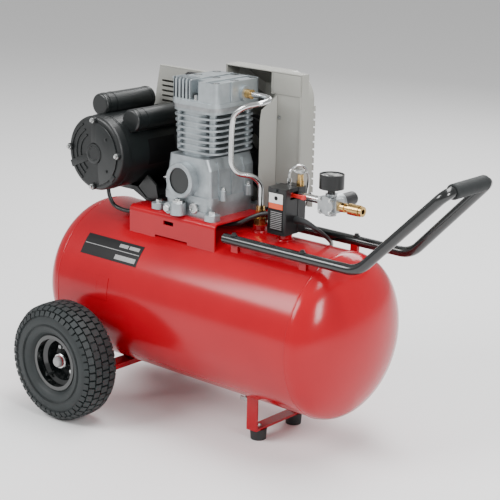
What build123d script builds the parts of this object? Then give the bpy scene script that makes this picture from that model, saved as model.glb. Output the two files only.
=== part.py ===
from build123d import *
import os
from math import cos, radians, sin, sqrt, tan

# A portable belt-driven air compressor: a horizontal receiver on two wheels and a
# pair of feet, a motor and a twin-cylinder pump on a bridge plate, a belt guard
# behind them, a pressure switch with a regulator, and a push handle.
# X runs along the tank towards the handle, Y towards the belt side, Z up. Sizes are
# laid out from the middle of the tank; save() moves the origin to the middle of the
# whole machine's length, on the floor.

# ---------------------------------------------------------------- tank
TANK_RADIUS = 178.0
TANK_WALL = 2.6
BARREL_LENGTH = 660.0
HEAD_DEPTH = 88.0
TANK_Z = 256.0
TANK_TOP = TANK_Z + TANK_RADIUS
BUNG_RADIUS = 15.0
BUNG_BORE = 9.0
BUNG_HEIGHT = 15.0
DRAIN_X = 100.0
DRAIN_HEIGHT = 10.0

# ---------------------------------------------------------------- bridge plate
SADDLE_LEFT = -178.0
SADDLE_RIGHT = 72.0
SADDLE_HALF = 101.0
SADDLE_TOP = 463.0
SADDLE_SHEET = 4.0
SADDLE_BEND = 12.0

# ---------------------------------------------------------------- wheels and axle
WHEEL_X = -221.0
WHEEL_Y = 260.0
TYRE_RADIUS = 131.0
TYRE_WIDTH = 89.0
RIM_RADIUS = 57.0
RIM_WIDTH = 62.0
RIM_SHEET = 3.0
CROWN_DROP = 3.0
HUB_RADIUS = 17.0
AXLE_RADIUS = 8.0
AXLE_FIT = 0.08
AXLE_BRACKET_Y = 190.0
AXLE_CHANNEL_TOP = 86.0
AXLE_CHANNEL_BOTTOM = 74.0
HUB_START = 204.0
HUB_END = 268.0

# ---------------------------------------------------------------- front foot
FOOT_X = 172.0
FOOT_Y = 60.0
FOOT_STRAP = 28.0
FOOT_SHEET = 5.0
FOOT_RADIUS = 19.0
FOOT_HEIGHT = 24.0

# ---------------------------------------------------------------- handle
HANDLE_TUBE = 11.1
HANDLE_WALL = 1.6
HANDLE_Y = 91.0
HANDLE_TOP_Y = 76.0
HANDLE_Z = 436.0
HANDLE_START = 92.0
HANDLE_KNEE_X = 438.0
HANDLE_TOP_X = 622.0
HANDLE_TOP_Z = 622.0
HANDLE_KNEE_RADIUS = 62.0
HANDLE_CORNER_RADIUS = 22.0
GRIP_HALF = 53.0
GRIP_RADIUS = 15.5

# ---------------------------------------------------------------- motor
MOTOR_X = -248.0
MOTOR_Z = 571.0
MOTOR_RADIUS = 82.5
MOTOR_FRONT = -140.0
MOTOR_SHELL_FRONT = -116.0
MOTOR_SHELL_BACK = 66.0
MOTOR_BACK = 84.0
MOTOR_WALL = 2.0
SHAFT_RADIUS = 8.0
ROTOR_RADIUS = 42.0
STATOR_BORE = 43.0
CAP_COVER_RADIUS = 25.0
CAP_COVER_FRONT = -96.0
CAP_COVER_BACK = 58.0

# ---------------------------------------------------------------- pump
PUMP_X = -30.0
CRANK_Z = 539.0
CYLINDER_Y = 34.0
BORE_RADIUS = 25.5
PISTON_FIT = 0.08
CRANK_THROW = 14.0
PIN_RADIUS = 9.0
JOURNAL_RADIUS = 12.5
PUMP_FRONT = -80.0
PUMP_BACK = 68.0
PUMP_LEFT = -93.0
PUMP_RIGHT = 36.0
BASE_TOP = 500.0
CASE_TOP = 590.0
BLOCK_BOTTOM = 598.0
CASE_WALL = 8.0
BLOCK_TOP = 690.0
BLOCK_FRONT = -70.0
BLOCK_BACK = 72.0
BLOCK_LEFT = -91.0
BLOCK_RIGHT = 39.0
FIN_COUNT = 8
FIN_THICK = 4.0
FIN_TAPER = 10.0
VALVE_PLATE_TOP = 698.0
HEAD_TOP = 750.0
HEAD_OVERHANG = 10.0
BOLT_SINK = 8.0
FITTING_Y = 26.0
ROD_LENGTH = 100.0

# ---------------------------------------------------------------- belt drive and guard
FLYWHEEL_RADIUS = 114.0
PULLEY_RADIUS = 36.0
BELT_Y = 125.0
RIM_HALF = 15.0
GROOVE_DEPTH = 11.0
BELT_TOP_WIDTH = 13.0
BELT_THICK = 8.0
BELT_GAP = 0.5
GUARD_FRONT = 90.0
GUARD_SPLIT = 130.0
GUARD_BACK = 176.0
GUARD_BEVEL = 44.0
GUARD_BEVEL_ANGLE = 44.0
GUARD_WALL = 3.0
GUARD_STEP = 105.0
GUARD_STEP_Z = 472.0
GUARD_BOTTOM = 406.0
GUARD_TOP = 766.0
GUARD_RIGHT = 143.0
GUARD_STEP_X = -72.0
GUARD_SHOULDER = 740.0
GUARD_FRAME = 22.0
LOUVRE_COUNT = 9
LOUVRE_TOP = 705.0
LOUVRE_PITCH = 11.4
LOUVRE_HIGH = 4.6
LOUVRE_LENGTH = 156.0
LOUVRE_X = -188.0

# ---------------------------------------------------------------- air side
VALVE_X = 100.0
VALVE_Y = 14.0
VALVE_TOP = 466.0
TUBE_NUT_TOP = 490.0
SWITCH_LEFT = 157.0
SWITCH_RIGHT = 205.0
SWITCH_FRONT = -33.0
SWITCH_BACK = 40.0
SWITCH_BOTTOM = 450.0
SWITCH_TOP = 549.0
SWITCH_SPLIT = 10.0
LEVER_Y = -4.0
CORD_Y = 4.0
CORD_Z = 480.0
GLAND_LENGTH = 18.0
REGULATOR_X = 283.0
REGULATOR_Y = 20.0
REGULATOR_Z = 525.0
REGULATOR_RADIUS = 19.0
GAUGE_RADIUS = 26.0
GAUGE_BOTTOM = 558.0
GAUGE_TOP = 588.0
TUBE_RADIUS = 6.0
CABLE_RADIUS = 4.5
CORD_RADIUS = 4.5
PLUG_RADIUS = 15.0
PLUG_Y = 338.0
PLUG_START = -80.0
PLUG_END = -128.0
BLADE_SPACING = 12.7
COIL_X = -4.0
COIL_Y = 286.0
COIL_RADIUS = 50.0


# ---------------------------------------------------------------- helpers
def block(x0, x1, y0, y1, z0, z1, mode=Mode.ADD):
    """A rectangular block between two corners."""
    with Locations(((x0 + x1) / 2, (y0 + y1) / 2, (z0 + z1) / 2)):
        Box(x1 - x0, y1 - y0, z1 - z0, mode=mode)


def bar_x(y, z, x0, x1, radius, mode=Mode.ADD):
    """A round bar along X."""
    with Locations(((x0 + x1) / 2, y, z)):
        Cylinder(radius, x1 - x0, rotation=(0, 90, 0), mode=mode)


def bar_y(x, z, y0, y1, radius, mode=Mode.ADD):
    """A round bar along Y."""
    with Locations((x, (y0 + y1) / 2, z)):
        Cylinder(radius, y1 - y0, rotation=(90, 0, 0), mode=mode)


def bar_z(x, y, z0, z1, radius, mode=Mode.ADD):
    """A round bar along Z."""
    with Locations((x, y, (z0 + z1) / 2)):
        Cylinder(radius, z1 - z0, mode=mode)


def hexagon(x, y, z0, z1, radius):
    """A hexagonal nut or bolt head along Z."""
    with BuildSketch(Plane.XY.offset(z0)) as outline:
        with Locations((x, y)):
            RegularPolygon(radius, 6)
    extrude(outline.sketch, amount=z1 - z0)


def save(builder, name):
    """Move a finished piece to the frame's origin, label it and write its own file."""
    placed = builder.part.moved(to_frame)
    placed.label = name
    export_step(placed, f"parts/{name}.step")


def surface_z(y, radius=TANK_RADIUS):
    """Height of the barrel's upper surface at a distance y from its axis."""
    return TANK_Z + sqrt(radius**2 - y**2)


def route_radii(points):
    """The largest arc that each corner of a route takes, from its two runs."""
    radii = []
    for before, here, after in zip(points, points[1:], points[2:]):
        run_in = Vector(*here) - Vector(*before)
        run_out = Vector(*after) - Vector(*here)
        half_turn = radians(run_in.get_angle(run_out)) / 2
        radii.append(0.45 * min(run_in.length, run_out.length) / tan(half_turn))
    return radii


def tube_along(points, radius, bore=0.0, bends=None):
    """A round tube along straight runs joined by tangent arcs."""
    with BuildPart() as tube:
        with BuildLine() as path:
            FilletPolyline(*points, radius=bends or route_radii(points))
        with BuildSketch(Plane(origin=path.line @ 0, z_dir=path.line % 0)):
            Circle(radius)
            if bore:
                Circle(bore, mode=Mode.SUBTRACT)
        sweep(path=path.line)
    return tube


os.makedirs("parts", exist_ok=True)

# ================================================================ receiver
axis_plane = Plane(origin=(0, 0, TANK_Z), x_dir=(1, 0, 0), z_dir=(0, -1, 0))
tank_axis = Axis((0, 0, TANK_Z), (1, 0, 0))
barrel_half = BARREL_LENGTH / 2
length_middle = (HANDLE_TOP_X + GRIP_RADIUS - barrel_half - HEAD_DEPTH) / 2
to_frame = Location((-length_middle, 0, 0))
switch_bung = ((SWITCH_LEFT + SWITCH_RIGHT) / 2, 0.0)
check_bung = (VALVE_X, VALVE_Y)
bung_top = TANK_TOP + BUNG_HEIGHT - 1

with BuildPart() as tank_barrel:
    bar_x(0, TANK_Z, -barrel_half, barrel_half, TANK_RADIUS)
    for bung_x, bung_y in (switch_bung, check_bung):
        bar_z(bung_x, bung_y, TANK_Z, bung_top, BUNG_RADIUS)
    bar_z(DRAIN_X, 0, TANK_Z - TANK_RADIUS - DRAIN_HEIGHT, TANK_Z, BUNG_RADIUS)
    for side in (-1, 1):
        for mount_x in (118, 300):
            mount_y = sorted((side * (HANDLE_Y - 9), side * (HANDLE_Y - 1)))
            block(mount_x - 9, mount_x + 9, mount_y[0], mount_y[1], TANK_Z + 120, HANDLE_Z)
        bar_x(side * HANDLE_Y, HANDLE_Z, 90, 340, HANDLE_TUBE, Mode.SUBTRACT)
    bar_x(0, TANK_Z, -barrel_half, barrel_half, TANK_RADIUS - TANK_WALL, Mode.SUBTRACT)
    for bung_x, bung_y in (switch_bung, check_bung):
        bar_z(bung_x, bung_y, TANK_Z, bung_top, BUNG_BORE, Mode.SUBTRACT)
    bar_z(DRAIN_X, 0, TANK_Z - TANK_RADIUS - DRAIN_HEIGHT, TANK_Z, BUNG_BORE, Mode.SUBTRACT)

with BuildPart() as tank_heads:
    with BuildSketch(axis_plane):
        with BuildLine():
            EllipticalCenterArc((barrel_half, 0), HEAD_DEPTH, TANK_RADIUS, arc_size=90)
            EllipticalCenterArc(
                (barrel_half, 0), HEAD_DEPTH - TANK_WALL, TANK_RADIUS - TANK_WALL, arc_size=90
            )
            Line(
                (barrel_half + HEAD_DEPTH, 0), (barrel_half + HEAD_DEPTH - TANK_WALL, 0)
            )
            Line((barrel_half, TANK_RADIUS), (barrel_half, TANK_RADIUS - TANK_WALL))
        make_face()
    revolve(axis=tank_axis)
    mirror(about=Plane.YZ)

# ================================================================ bridge plate
saddle_foot_z = surface_z(SADDLE_HALF)
with BuildPart() as saddle_plate:
    with BuildSketch(Plane.YZ.offset(SADDLE_LEFT)):
        with Locations((0, SADDLE_TOP - SADDLE_HALF / 2)):
            Rectangle(2 * SADDLE_HALF, SADDLE_HALF)
    extrude(amount=SADDLE_RIGHT - SADDLE_LEFT)
    top_edges = saddle_plate.edges().filter_by(Axis.X).group_by(Axis.Z)[-1]
    fillet(top_edges, SADDLE_BEND)
    with BuildSketch(Plane.YZ.offset(SADDLE_LEFT)):
        with Locations((0, SADDLE_TOP - SADDLE_SHEET - SADDLE_HALF / 2)):
            RectangleRounded(
                2 * (SADDLE_HALF - SADDLE_SHEET), SADDLE_HALF, SADDLE_BEND - SADDLE_SHEET
            )
    extrude(amount=SADDLE_RIGHT - SADDLE_LEFT, mode=Mode.SUBTRACT)
    block(
        SADDLE_LEFT, SADDLE_RIGHT, -SADDLE_HALF, SADDLE_HALF,
        TANK_Z, SADDLE_TOP - SADDLE_HALF + SADDLE_SHEET, Mode.SUBTRACT,
    )
    bar_x(0, TANK_Z, SADDLE_LEFT - 1, SADDLE_RIGHT + 1, TANK_RADIUS, Mode.SUBTRACT)
    for side in (-1, 1):
        leg_y = side * (SADDLE_HALF - SADDLE_SHEET / 2)
        block(-76, -47, leg_y - 3, leg_y + 3, 436, 445, Mode.SUBTRACT)
        block(-101, -6, leg_y - 3, leg_y + 3, saddle_foot_z - 5, 409, Mode.SUBTRACT)

# ================================================================ axle and feet
with BuildPart() as axle_bracket:
    block(
        WHEEL_X - 18, WHEEL_X + 18, -AXLE_BRACKET_Y, AXLE_BRACKET_Y,
        AXLE_CHANNEL_BOTTOM, AXLE_CHANNEL_TOP,
    )
    bar_x(0, TANK_Z, WHEEL_X - 20, WHEEL_X + 20, TANK_RADIUS, Mode.SUBTRACT)
    for side in (-1, 1):
        plate_y = sorted((side * AXLE_BRACKET_Y, side * (AXLE_BRACKET_Y + 6)))
        block(
            WHEEL_X - 22, WHEEL_X + 22, plate_y[0], plate_y[1],
            AXLE_CHANNEL_BOTTOM, TYRE_RADIUS + 22,
        )
        stub = sorted((side * (AXLE_BRACKET_Y + 6), side * (HUB_END + 14)))
        bar_y(WHEEL_X, TYRE_RADIUS, stub[0], stub[1], AXLE_RADIUS)
        nut = sorted((side * (HUB_END + 1), side * (HUB_END + 9)))
        bar_y(WHEEL_X, TYRE_RADIUS, nut[0], nut[1], HUB_RADIUS - 4)

with BuildPart() as foot_bracket:
    foot_z = FOOT_HEIGHT
    leg_out = FOOT_Y + FOOT_RADIUS + 5
    block(
        FOOT_X - FOOT_STRAP / 2, FOOT_X + FOOT_STRAP / 2, -leg_out, leg_out,
        foot_z, TANK_Z,
    )
    block(
        FOOT_X - FOOT_STRAP, FOOT_X + FOOT_STRAP, FOOT_SHEET - leg_out, leg_out - FOOT_SHEET,
        foot_z + FOOT_SHEET, TANK_Z, Mode.SUBTRACT,
    )
    bar_x(0, TANK_Z, FOOT_X - 20, FOOT_X + 20, TANK_RADIUS, Mode.SUBTRACT)
    for side in (-1, 1):
        bar_z(FOOT_X, side * FOOT_Y, foot_z, foot_z + FOOT_SHEET, 3.3, Mode.SUBTRACT)

with BuildPart() as rubber_feet:
    with BuildSketch(Plane.XY):
        with Locations((FOOT_X, -FOOT_Y), (FOOT_X, FOOT_Y)):
            Circle(FOOT_RADIUS - 2)
    extrude(amount=FOOT_HEIGHT, taper=-4)


# ================================================================ wheels
def wheel_pieces(side):
    """The tyre and the rim of one wheel; side is -1 for the front wheel, 1 for the other."""
    hub_plane = Plane(origin=(WHEEL_X, side * WHEEL_Y, TYRE_RADIUS), x_dir=(0, side, 0),
                      z_dir=(1, 0, 0) if side > 0 else (-1, 0, 0))
    hub_axis = Axis((WHEEL_X, side * WHEEL_Y, TYRE_RADIUS), (0, 1, 0))
    half = TYRE_WIDTH / 2
    bead = RIM_WIDTH / 2 - RIM_SHEET
    crown_half = half - 17
    with BuildPart() as tyre:
        with BuildSketch(hub_plane):
            with BuildLine():
                Line((bead, RIM_RADIUS), (bead, RIM_RADIUS + 6.5))
                Spline(
                    (bead, RIM_RADIUS + 6.5), (half - 3, RIM_RADIUS + 24), (half, RIM_RADIUS + 38),
                    (half - 5, TYRE_RADIUS - 14), (crown_half, TYRE_RADIUS - CROWN_DROP),
                )
                ThreePointArc(
                    (crown_half, TYRE_RADIUS - CROWN_DROP),
                    (crown_half / 2, TYRE_RADIUS - CROWN_DROP / 4), (0, TYRE_RADIUS),
                )
                Line((0, TYRE_RADIUS), (0, TYRE_RADIUS - 9))
                Polyline(
                    (0, TYRE_RADIUS - 9), (half - 18, TYRE_RADIUS - 14),
                    (half - 9, RIM_RADIUS + 40), (half - 12, RIM_RADIUS + 18),
                    (bead - 7, RIM_RADIUS),
                )
                Line((bead - 7, RIM_RADIUS), (bead, RIM_RADIUS))
            make_face()
            mirror(about=Plane.YZ)
        revolve(axis=hub_axis)
    outer = RIM_WIDTH / 2
    with BuildPart() as rim:
        with BuildSketch(hub_plane):
            with BuildLine():
                Polyline(
                    (outer, RIM_RADIUS + 5), (outer - RIM_SHEET, RIM_RADIUS + 5),
                    (outer - RIM_SHEET, RIM_RADIUS), (12, RIM_RADIUS), (6, RIM_RADIUS - 9),
                    (-6, RIM_RADIUS - 9), (-12, RIM_RADIUS), (RIM_SHEET - outer, RIM_RADIUS),
                    (RIM_SHEET - outer, RIM_RADIUS + 5), (-outer, RIM_RADIUS + 5),
                    (-outer, RIM_RADIUS - RIM_SHEET), (-13, RIM_RADIUS - RIM_SHEET),
                    (-8, RIM_RADIUS - 12), (4, RIM_RADIUS - 12), (-16, RIM_RADIUS - 18),
                    (-16, HUB_RADIUS), (HUB_START - WHEEL_Y, HUB_RADIUS),
                    (HUB_START - WHEEL_Y, AXLE_RADIUS + AXLE_FIT),
                    (HUB_END - WHEEL_Y, AXLE_RADIUS + AXLE_FIT), (HUB_END - WHEEL_Y, HUB_RADIUS),
                    (-12, HUB_RADIUS), (-12, RIM_RADIUS - 20), (8, RIM_RADIUS - 12),
                    (13, RIM_RADIUS - RIM_SHEET), (outer, RIM_RADIUS - RIM_SHEET), close=True,
                )
            make_face()
        revolve(axis=hub_axis)
    return tyre, rim


tyre_front, rim_front = wheel_pieces(-1)
tyre_rear, rim_rear = wheel_pieces(1)

# ================================================================ handle
handle_route = [
    (HANDLE_START, -HANDLE_Y, HANDLE_Z), (HANDLE_KNEE_X, -HANDLE_Y, HANDLE_Z),
    (HANDLE_TOP_X, -HANDLE_TOP_Y, HANDLE_TOP_Z), (HANDLE_TOP_X, HANDLE_TOP_Y, HANDLE_TOP_Z),
    (HANDLE_KNEE_X, HANDLE_Y, HANDLE_Z), (HANDLE_START, HANDLE_Y, HANDLE_Z),
]
handle_bends = [
    HANDLE_KNEE_RADIUS, HANDLE_CORNER_RADIUS, HANDLE_CORNER_RADIUS, HANDLE_KNEE_RADIUS,
]
handle_tube = tube_along(
    handle_route, HANDLE_TUBE, HANDLE_TUBE - HANDLE_WALL, handle_bends
)

with BuildPart() as handle_grip:
    bar_y(HANDLE_TOP_X, HANDLE_TOP_Z, -GRIP_HALF, GRIP_HALF, GRIP_RADIUS)
    bar_y(HANDLE_TOP_X, HANDLE_TOP_Z, -GRIP_HALF, GRIP_HALF, HANDLE_TUBE, Mode.SUBTRACT)

# ================================================================ motor
with BuildPart() as motor_shell:
    bar_y(MOTOR_X, MOTOR_Z, MOTOR_SHELL_FRONT, MOTOR_SHELL_BACK, MOTOR_RADIUS)
    bar_y(
        MOTOR_X, MOTOR_Z, MOTOR_SHELL_FRONT, MOTOR_SHELL_BACK, MOTOR_RADIUS - MOTOR_WALL,
        Mode.SUBTRACT,
    )

with BuildPart() as motor_front_bell:
    bar_y(MOTOR_X, MOTOR_Z, MOTOR_FRONT, MOTOR_SHELL_FRONT, MOTOR_RADIUS)
    fillet(motor_front_bell.edges().group_by(Axis.Y)[0], 9)
    bar_y(
        MOTOR_X, MOTOR_Z, MOTOR_FRONT + 5, MOTOR_SHELL_FRONT, MOTOR_RADIUS - 6, Mode.SUBTRACT
    )
    bar_y(MOTOR_X, MOTOR_Z, MOTOR_FRONT - 3, MOTOR_SHELL_FRONT, 24)
    bar_y(
        MOTOR_X, MOTOR_Z, MOTOR_FRONT + 3, MOTOR_SHELL_FRONT, SHAFT_RADIUS + AXLE_FIT,
        Mode.SUBTRACT,
    )
    with BuildSketch(Plane.XZ.offset(-(MOTOR_FRONT - 1))):
        for ring in (37, 50, 63):
            for centre_angle in (135, 180, 225):
                with Locations((MOTOR_X, MOTOR_Z)):
                    SlotArc(
                        CenterArc((0, 0), ring, centre_angle - 15, 30, mode=Mode.PRIVATE), 6
                    )
    extrude(amount=-8, mode=Mode.SUBTRACT)

with BuildPart() as motor_rear_bell:
    bar_y(MOTOR_X, MOTOR_Z, MOTOR_SHELL_BACK, MOTOR_BACK, MOTOR_RADIUS)
    fillet(motor_rear_bell.edges().group_by(Axis.Y)[-1], 8)
    bar_y(
        MOTOR_X, MOTOR_Z, MOTOR_SHELL_BACK, MOTOR_BACK - 6, MOTOR_RADIUS - 6, Mode.SUBTRACT
    )
    bar_y(MOTOR_X, MOTOR_Z, MOTOR_SHELL_BACK, MOTOR_BACK, 22)
    bar_y(
        MOTOR_X, MOTOR_Z, MOTOR_SHELL_BACK, MOTOR_BACK, SHAFT_RADIUS + AXLE_FIT, Mode.SUBTRACT
    )

with BuildPart() as motor_stator:
    bar_y(MOTOR_X, MOTOR_Z, -62, 28, MOTOR_RADIUS - MOTOR_WALL)
    bar_y(MOTOR_X, MOTOR_Z, -84, 50, STATOR_BORE + 24)
    bar_y(MOTOR_X, MOTOR_Z, -84, 50, STATOR_BORE, Mode.SUBTRACT)

with BuildPart() as motor_rotor:
    bar_y(MOTOR_X, MOTOR_Z, MOTOR_FRONT + 4, BELT_Y + RIM_HALF, SHAFT_RADIUS)
    bar_y(MOTOR_X, MOTOR_Z, -62, 28, ROTOR_RADIUS)
    bar_y(MOTOR_X, MOTOR_Z, 40, 46, ROTOR_RADIUS - 8)

capacitor_centres = [(MOTOR_X - 29, MOTOR_Z + 98), (MOTOR_X + 66, MOTOR_Z + 75)]
with BuildPart() as capacitor_covers:
    for cover_x, cover_z in capacitor_centres:
        bar_y(cover_x, cover_z, CAP_COVER_FRONT, CAP_COVER_BACK, CAP_COVER_RADIUS)
    fillet(capacitor_covers.edges().filter_by(GeomType.CIRCLE), 5)
    for cover_x, cover_z in capacitor_centres:
        bar_y(
            cover_x, cover_z, CAP_COVER_FRONT + 2, CAP_COVER_BACK - 2, CAP_COVER_RADIUS - 2,
            Mode.SUBTRACT,
        )
    bar_y(
        MOTOR_X, MOTOR_Z, CAP_COVER_FRONT - 1, CAP_COVER_BACK + 1, MOTOR_RADIUS, Mode.SUBTRACT
    )

with BuildPart() as motor_bracket:
    with BuildSketch(Plane.XZ.offset(50)):
        with BuildLine():
            Polyline(
                (-290, 480), (-218, 480), (-180, SADDLE_TOP), (-140, SADDLE_TOP),
                (-140, SADDLE_TOP + 5), (-178, SADDLE_TOP + 5), (-206, 489.5), (-290, 489.5),
                close=True,
            )
        make_face()
    extrude(amount=-110)
    for web_y in (-48, 52):
        with BuildSketch(Plane.XZ.offset(-web_y)):
            with BuildLine():
                Polyline((-204, 489.5), (-178, SADDLE_TOP + 5), (-142, SADDLE_TOP + 5),
                         (-150, 500), (-176, 520), close=True)
            make_face()
        extrude(amount=-5)
    bar_y(MOTOR_X, MOTOR_Z, -60, 70, MOTOR_RADIUS, Mode.SUBTRACT)

# ================================================================ pump
cylinder_places = [(PUMP_X, -CYLINDER_Y), (PUMP_X, CYLINDER_Y)]
pump_mid_x = (PUMP_LEFT + PUMP_RIGHT) / 2
pump_mid_y = (PUMP_FRONT + PUMP_BACK) / 2
pump_size_x = PUMP_RIGHT - PUMP_LEFT
pump_size_y = PUMP_BACK - PUMP_FRONT
ear_places = [(-108, -80), (46, -80), (-108, 72), (46, 72)]
boss_x = PUMP_X - 8
boss_y = PUMP_FRONT - 16

with BuildPart() as pump_base:
    with BuildSketch(Plane.XY.offset(SADDLE_TOP)):
        with Locations((pump_mid_x, pump_mid_y)):
            RectangleRounded(pump_size_x, pump_size_y, 16)
    extrude(amount=BASE_TOP - SADDLE_TOP)
    with BuildSketch(Plane.XY.offset(BASE_TOP - 8)):
        with Locations((pump_mid_x, pump_mid_y)):
            RectangleRounded(pump_size_x + 8, pump_size_y + 6, 18)
    extrude(amount=8)
    with BuildSketch(Plane.XY.offset(SADDLE_TOP)):
        with Locations(*ear_places):
            RectangleRounded(30, 30, 10)
        with Locations((pump_mid_x, -72), (pump_mid_x, 64)):
            Rectangle(pump_size_x + 20, 20)
    extrude(amount=13)
    bar_z(boss_x, boss_y, SADDLE_TOP + 2, SADDLE_TOP + 28, 17)
    bar_y(boss_x - 17, SADDLE_TOP + 15, boss_y - 14, PUMP_FRONT + 2, 12)
    with BuildSketch(Plane.XY.offset(SADDLE_TOP + 8)):
        with Locations((pump_mid_x, pump_mid_y)):
            RectangleRounded(pump_size_x - 16, pump_size_y - 16, 8)
    extrude(amount=BASE_TOP - SADDLE_TOP, mode=Mode.SUBTRACT)
    bar_z(boss_x, boss_y, SADDLE_TOP + 12, SADDLE_TOP + 30, 9, Mode.SUBTRACT)
    for ear_x, ear_y in ear_places:
        bar_z(ear_x, ear_y, SADDLE_TOP, SADDLE_TOP + 13, 4.2, Mode.SUBTRACT)

with BuildPart() as oil_fill_plug:
    bar_z(boss_x, boss_y, SADDLE_TOP + 14, SADDLE_TOP + 28, 8.95)
    hexagon(boss_x, boss_y, SADDLE_TOP + 28, SADDLE_TOP + 33, 12)
    bar_z(boss_x, boss_y, SADDLE_TOP + 33, BASE_TOP - 1, 7)

with BuildPart() as crankcase:
    with BuildSketch(Plane.XZ.offset(-PUMP_FRONT)):
        with BuildLine():
            Polyline(
                (PUMP_LEFT - 3, BASE_TOP), (PUMP_RIGHT + 2, BASE_TOP), (PUMP_RIGHT, BASE_TOP + 66),
                (PUMP_RIGHT - 10, CASE_TOP), (PUMP_LEFT + 11, CASE_TOP), close=True,
            )
        make_face()
    extrude(amount=PUMP_FRONT - PUMP_BACK)
    upright = crankcase.edges().filter_by(Axis.Y, reverse=True).filter_by(Axis.X, reverse=True)
    fillet(upright, 11)
    bar_y(PUMP_X - 4, CRANK_Z, PUMP_FRONT - 14, PUMP_FRONT + 20, 38.5)
    bar_y(PUMP_X, CRANK_Z, PUMP_BACK - 20, PUMP_BACK + 10, 34)
    with BuildSketch(Plane.XY.offset(BASE_TOP)):
        with Locations((pump_mid_x, pump_mid_y)):
            RectangleRounded(pump_size_x + 8, pump_size_y + 6, 18)
    extrude(amount=8)
    with BuildSketch(Plane.XY.offset(CASE_TOP - 4)):
        with Locations((PUMP_X, 0)):
            RectangleRounded(2 * BORE_RADIUS + 30, 2 * (CYLINDER_Y + BORE_RADIUS) + 8, 24)
    extrude(amount=BLOCK_BOTTOM - CASE_TOP + 4)
    with BuildSketch(Plane.XY.offset(BASE_TOP)):
        with Locations((pump_mid_x, pump_mid_y)):
            RectangleRounded(pump_size_x - 16, pump_size_y - 20, 8)
    extrude(amount=CASE_TOP - BASE_TOP - CASE_WALL, taper=5, mode=Mode.SUBTRACT)
    bar_y(PUMP_X, CRANK_Z, PUMP_FRONT - 14, PUMP_FRONT + 20, 26, Mode.SUBTRACT)
    bar_y(PUMP_X, CRANK_Z, PUMP_BACK - 20, PUMP_BACK + 10, 26, Mode.SUBTRACT)
    for bore_x, bore_y in cylinder_places:
        bar_z(bore_x, bore_y, CASE_TOP - 20, BLOCK_BOTTOM, BORE_RADIUS + 3, Mode.SUBTRACT)

with BuildPart() as bearing_cover:
    bar_y(PUMP_X - 4, CRANK_Z, PUMP_FRONT - 18, PUMP_FRONT - 14, 36)
    bar_y(PUMP_X - 4, CRANK_Z, PUMP_FRONT - 18, PUMP_FRONT - 16, 27, Mode.SUBTRACT)

with BuildPart() as crank_bearings:
    for race_front, race_back in (
        (PUMP_FRONT + 2, PUMP_FRONT + 18), (PUMP_BACK - 10, PUMP_BACK + 6)
    ):
        bar_y(PUMP_X, CRANK_Z, race_front, race_back, 26)
        bar_y(PUMP_X, CRANK_Z, race_front, race_back, JOURNAL_RADIUS + AXLE_FIT, Mode.SUBTRACT)

with BuildPart() as crankshaft:
    bar_y(PUMP_X, CRANK_Z, PUMP_FRONT - 2, -50, JOURNAL_RADIUS)
    bar_y(PUMP_X, CRANK_Z, -22, 22, JOURNAL_RADIUS)
    bar_y(PUMP_X, CRANK_Z, 44, BELT_Y + RIM_HALF, JOURNAL_RADIUS)
    for pin_sign, pin_y in ((1, -CYLINDER_Y), (-1, CYLINDER_Y)):
        pin_z = CRANK_Z + pin_sign * CRANK_THROW
        bar_y(PUMP_X, pin_z, pin_y - 11, pin_y + 11, PIN_RADIUS)
        for web_y in (pin_y - 16, pin_y + 10):
            bar_y(PUMP_X, CRANK_Z, web_y, web_y + 6, 26)

with BuildPart() as connecting_rods:
    for rod_x, rod_y in cylinder_places:
        sweep_bore = CRANK_THROW + PIN_RADIUS + 0.6
        bar_y(rod_x, CRANK_Z, rod_y - 7, rod_y + 7, sweep_bore + 5)
        block(rod_x - 7, rod_x + 7, rod_y - 6, rod_y + 6, CRANK_Z, CRANK_Z + ROD_LENGTH)
        bar_y(rod_x, CRANK_Z + ROD_LENGTH, rod_y - 7, rod_y + 7, 11)
        bar_y(rod_x, CRANK_Z, rod_y - 9, rod_y + 9, sweep_bore, Mode.SUBTRACT)
        bar_y(rod_x, CRANK_Z + ROD_LENGTH, rod_y - 9, rod_y + 9, 6, Mode.SUBTRACT)

with BuildPart() as pistons:
    for bore_x, bore_y in cylinder_places:
        pin_z = CRANK_Z + ROD_LENGTH
        bar_z(bore_x, bore_y, pin_z - 16, pin_z + 22, BORE_RADIUS - PISTON_FIT)
        bar_z(bore_x, bore_y, pin_z - 16, pin_z + 14, BORE_RADIUS - 5, Mode.SUBTRACT)
        bar_y(bore_x, pin_z, bore_y - 24, bore_y + 24, 6)

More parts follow.
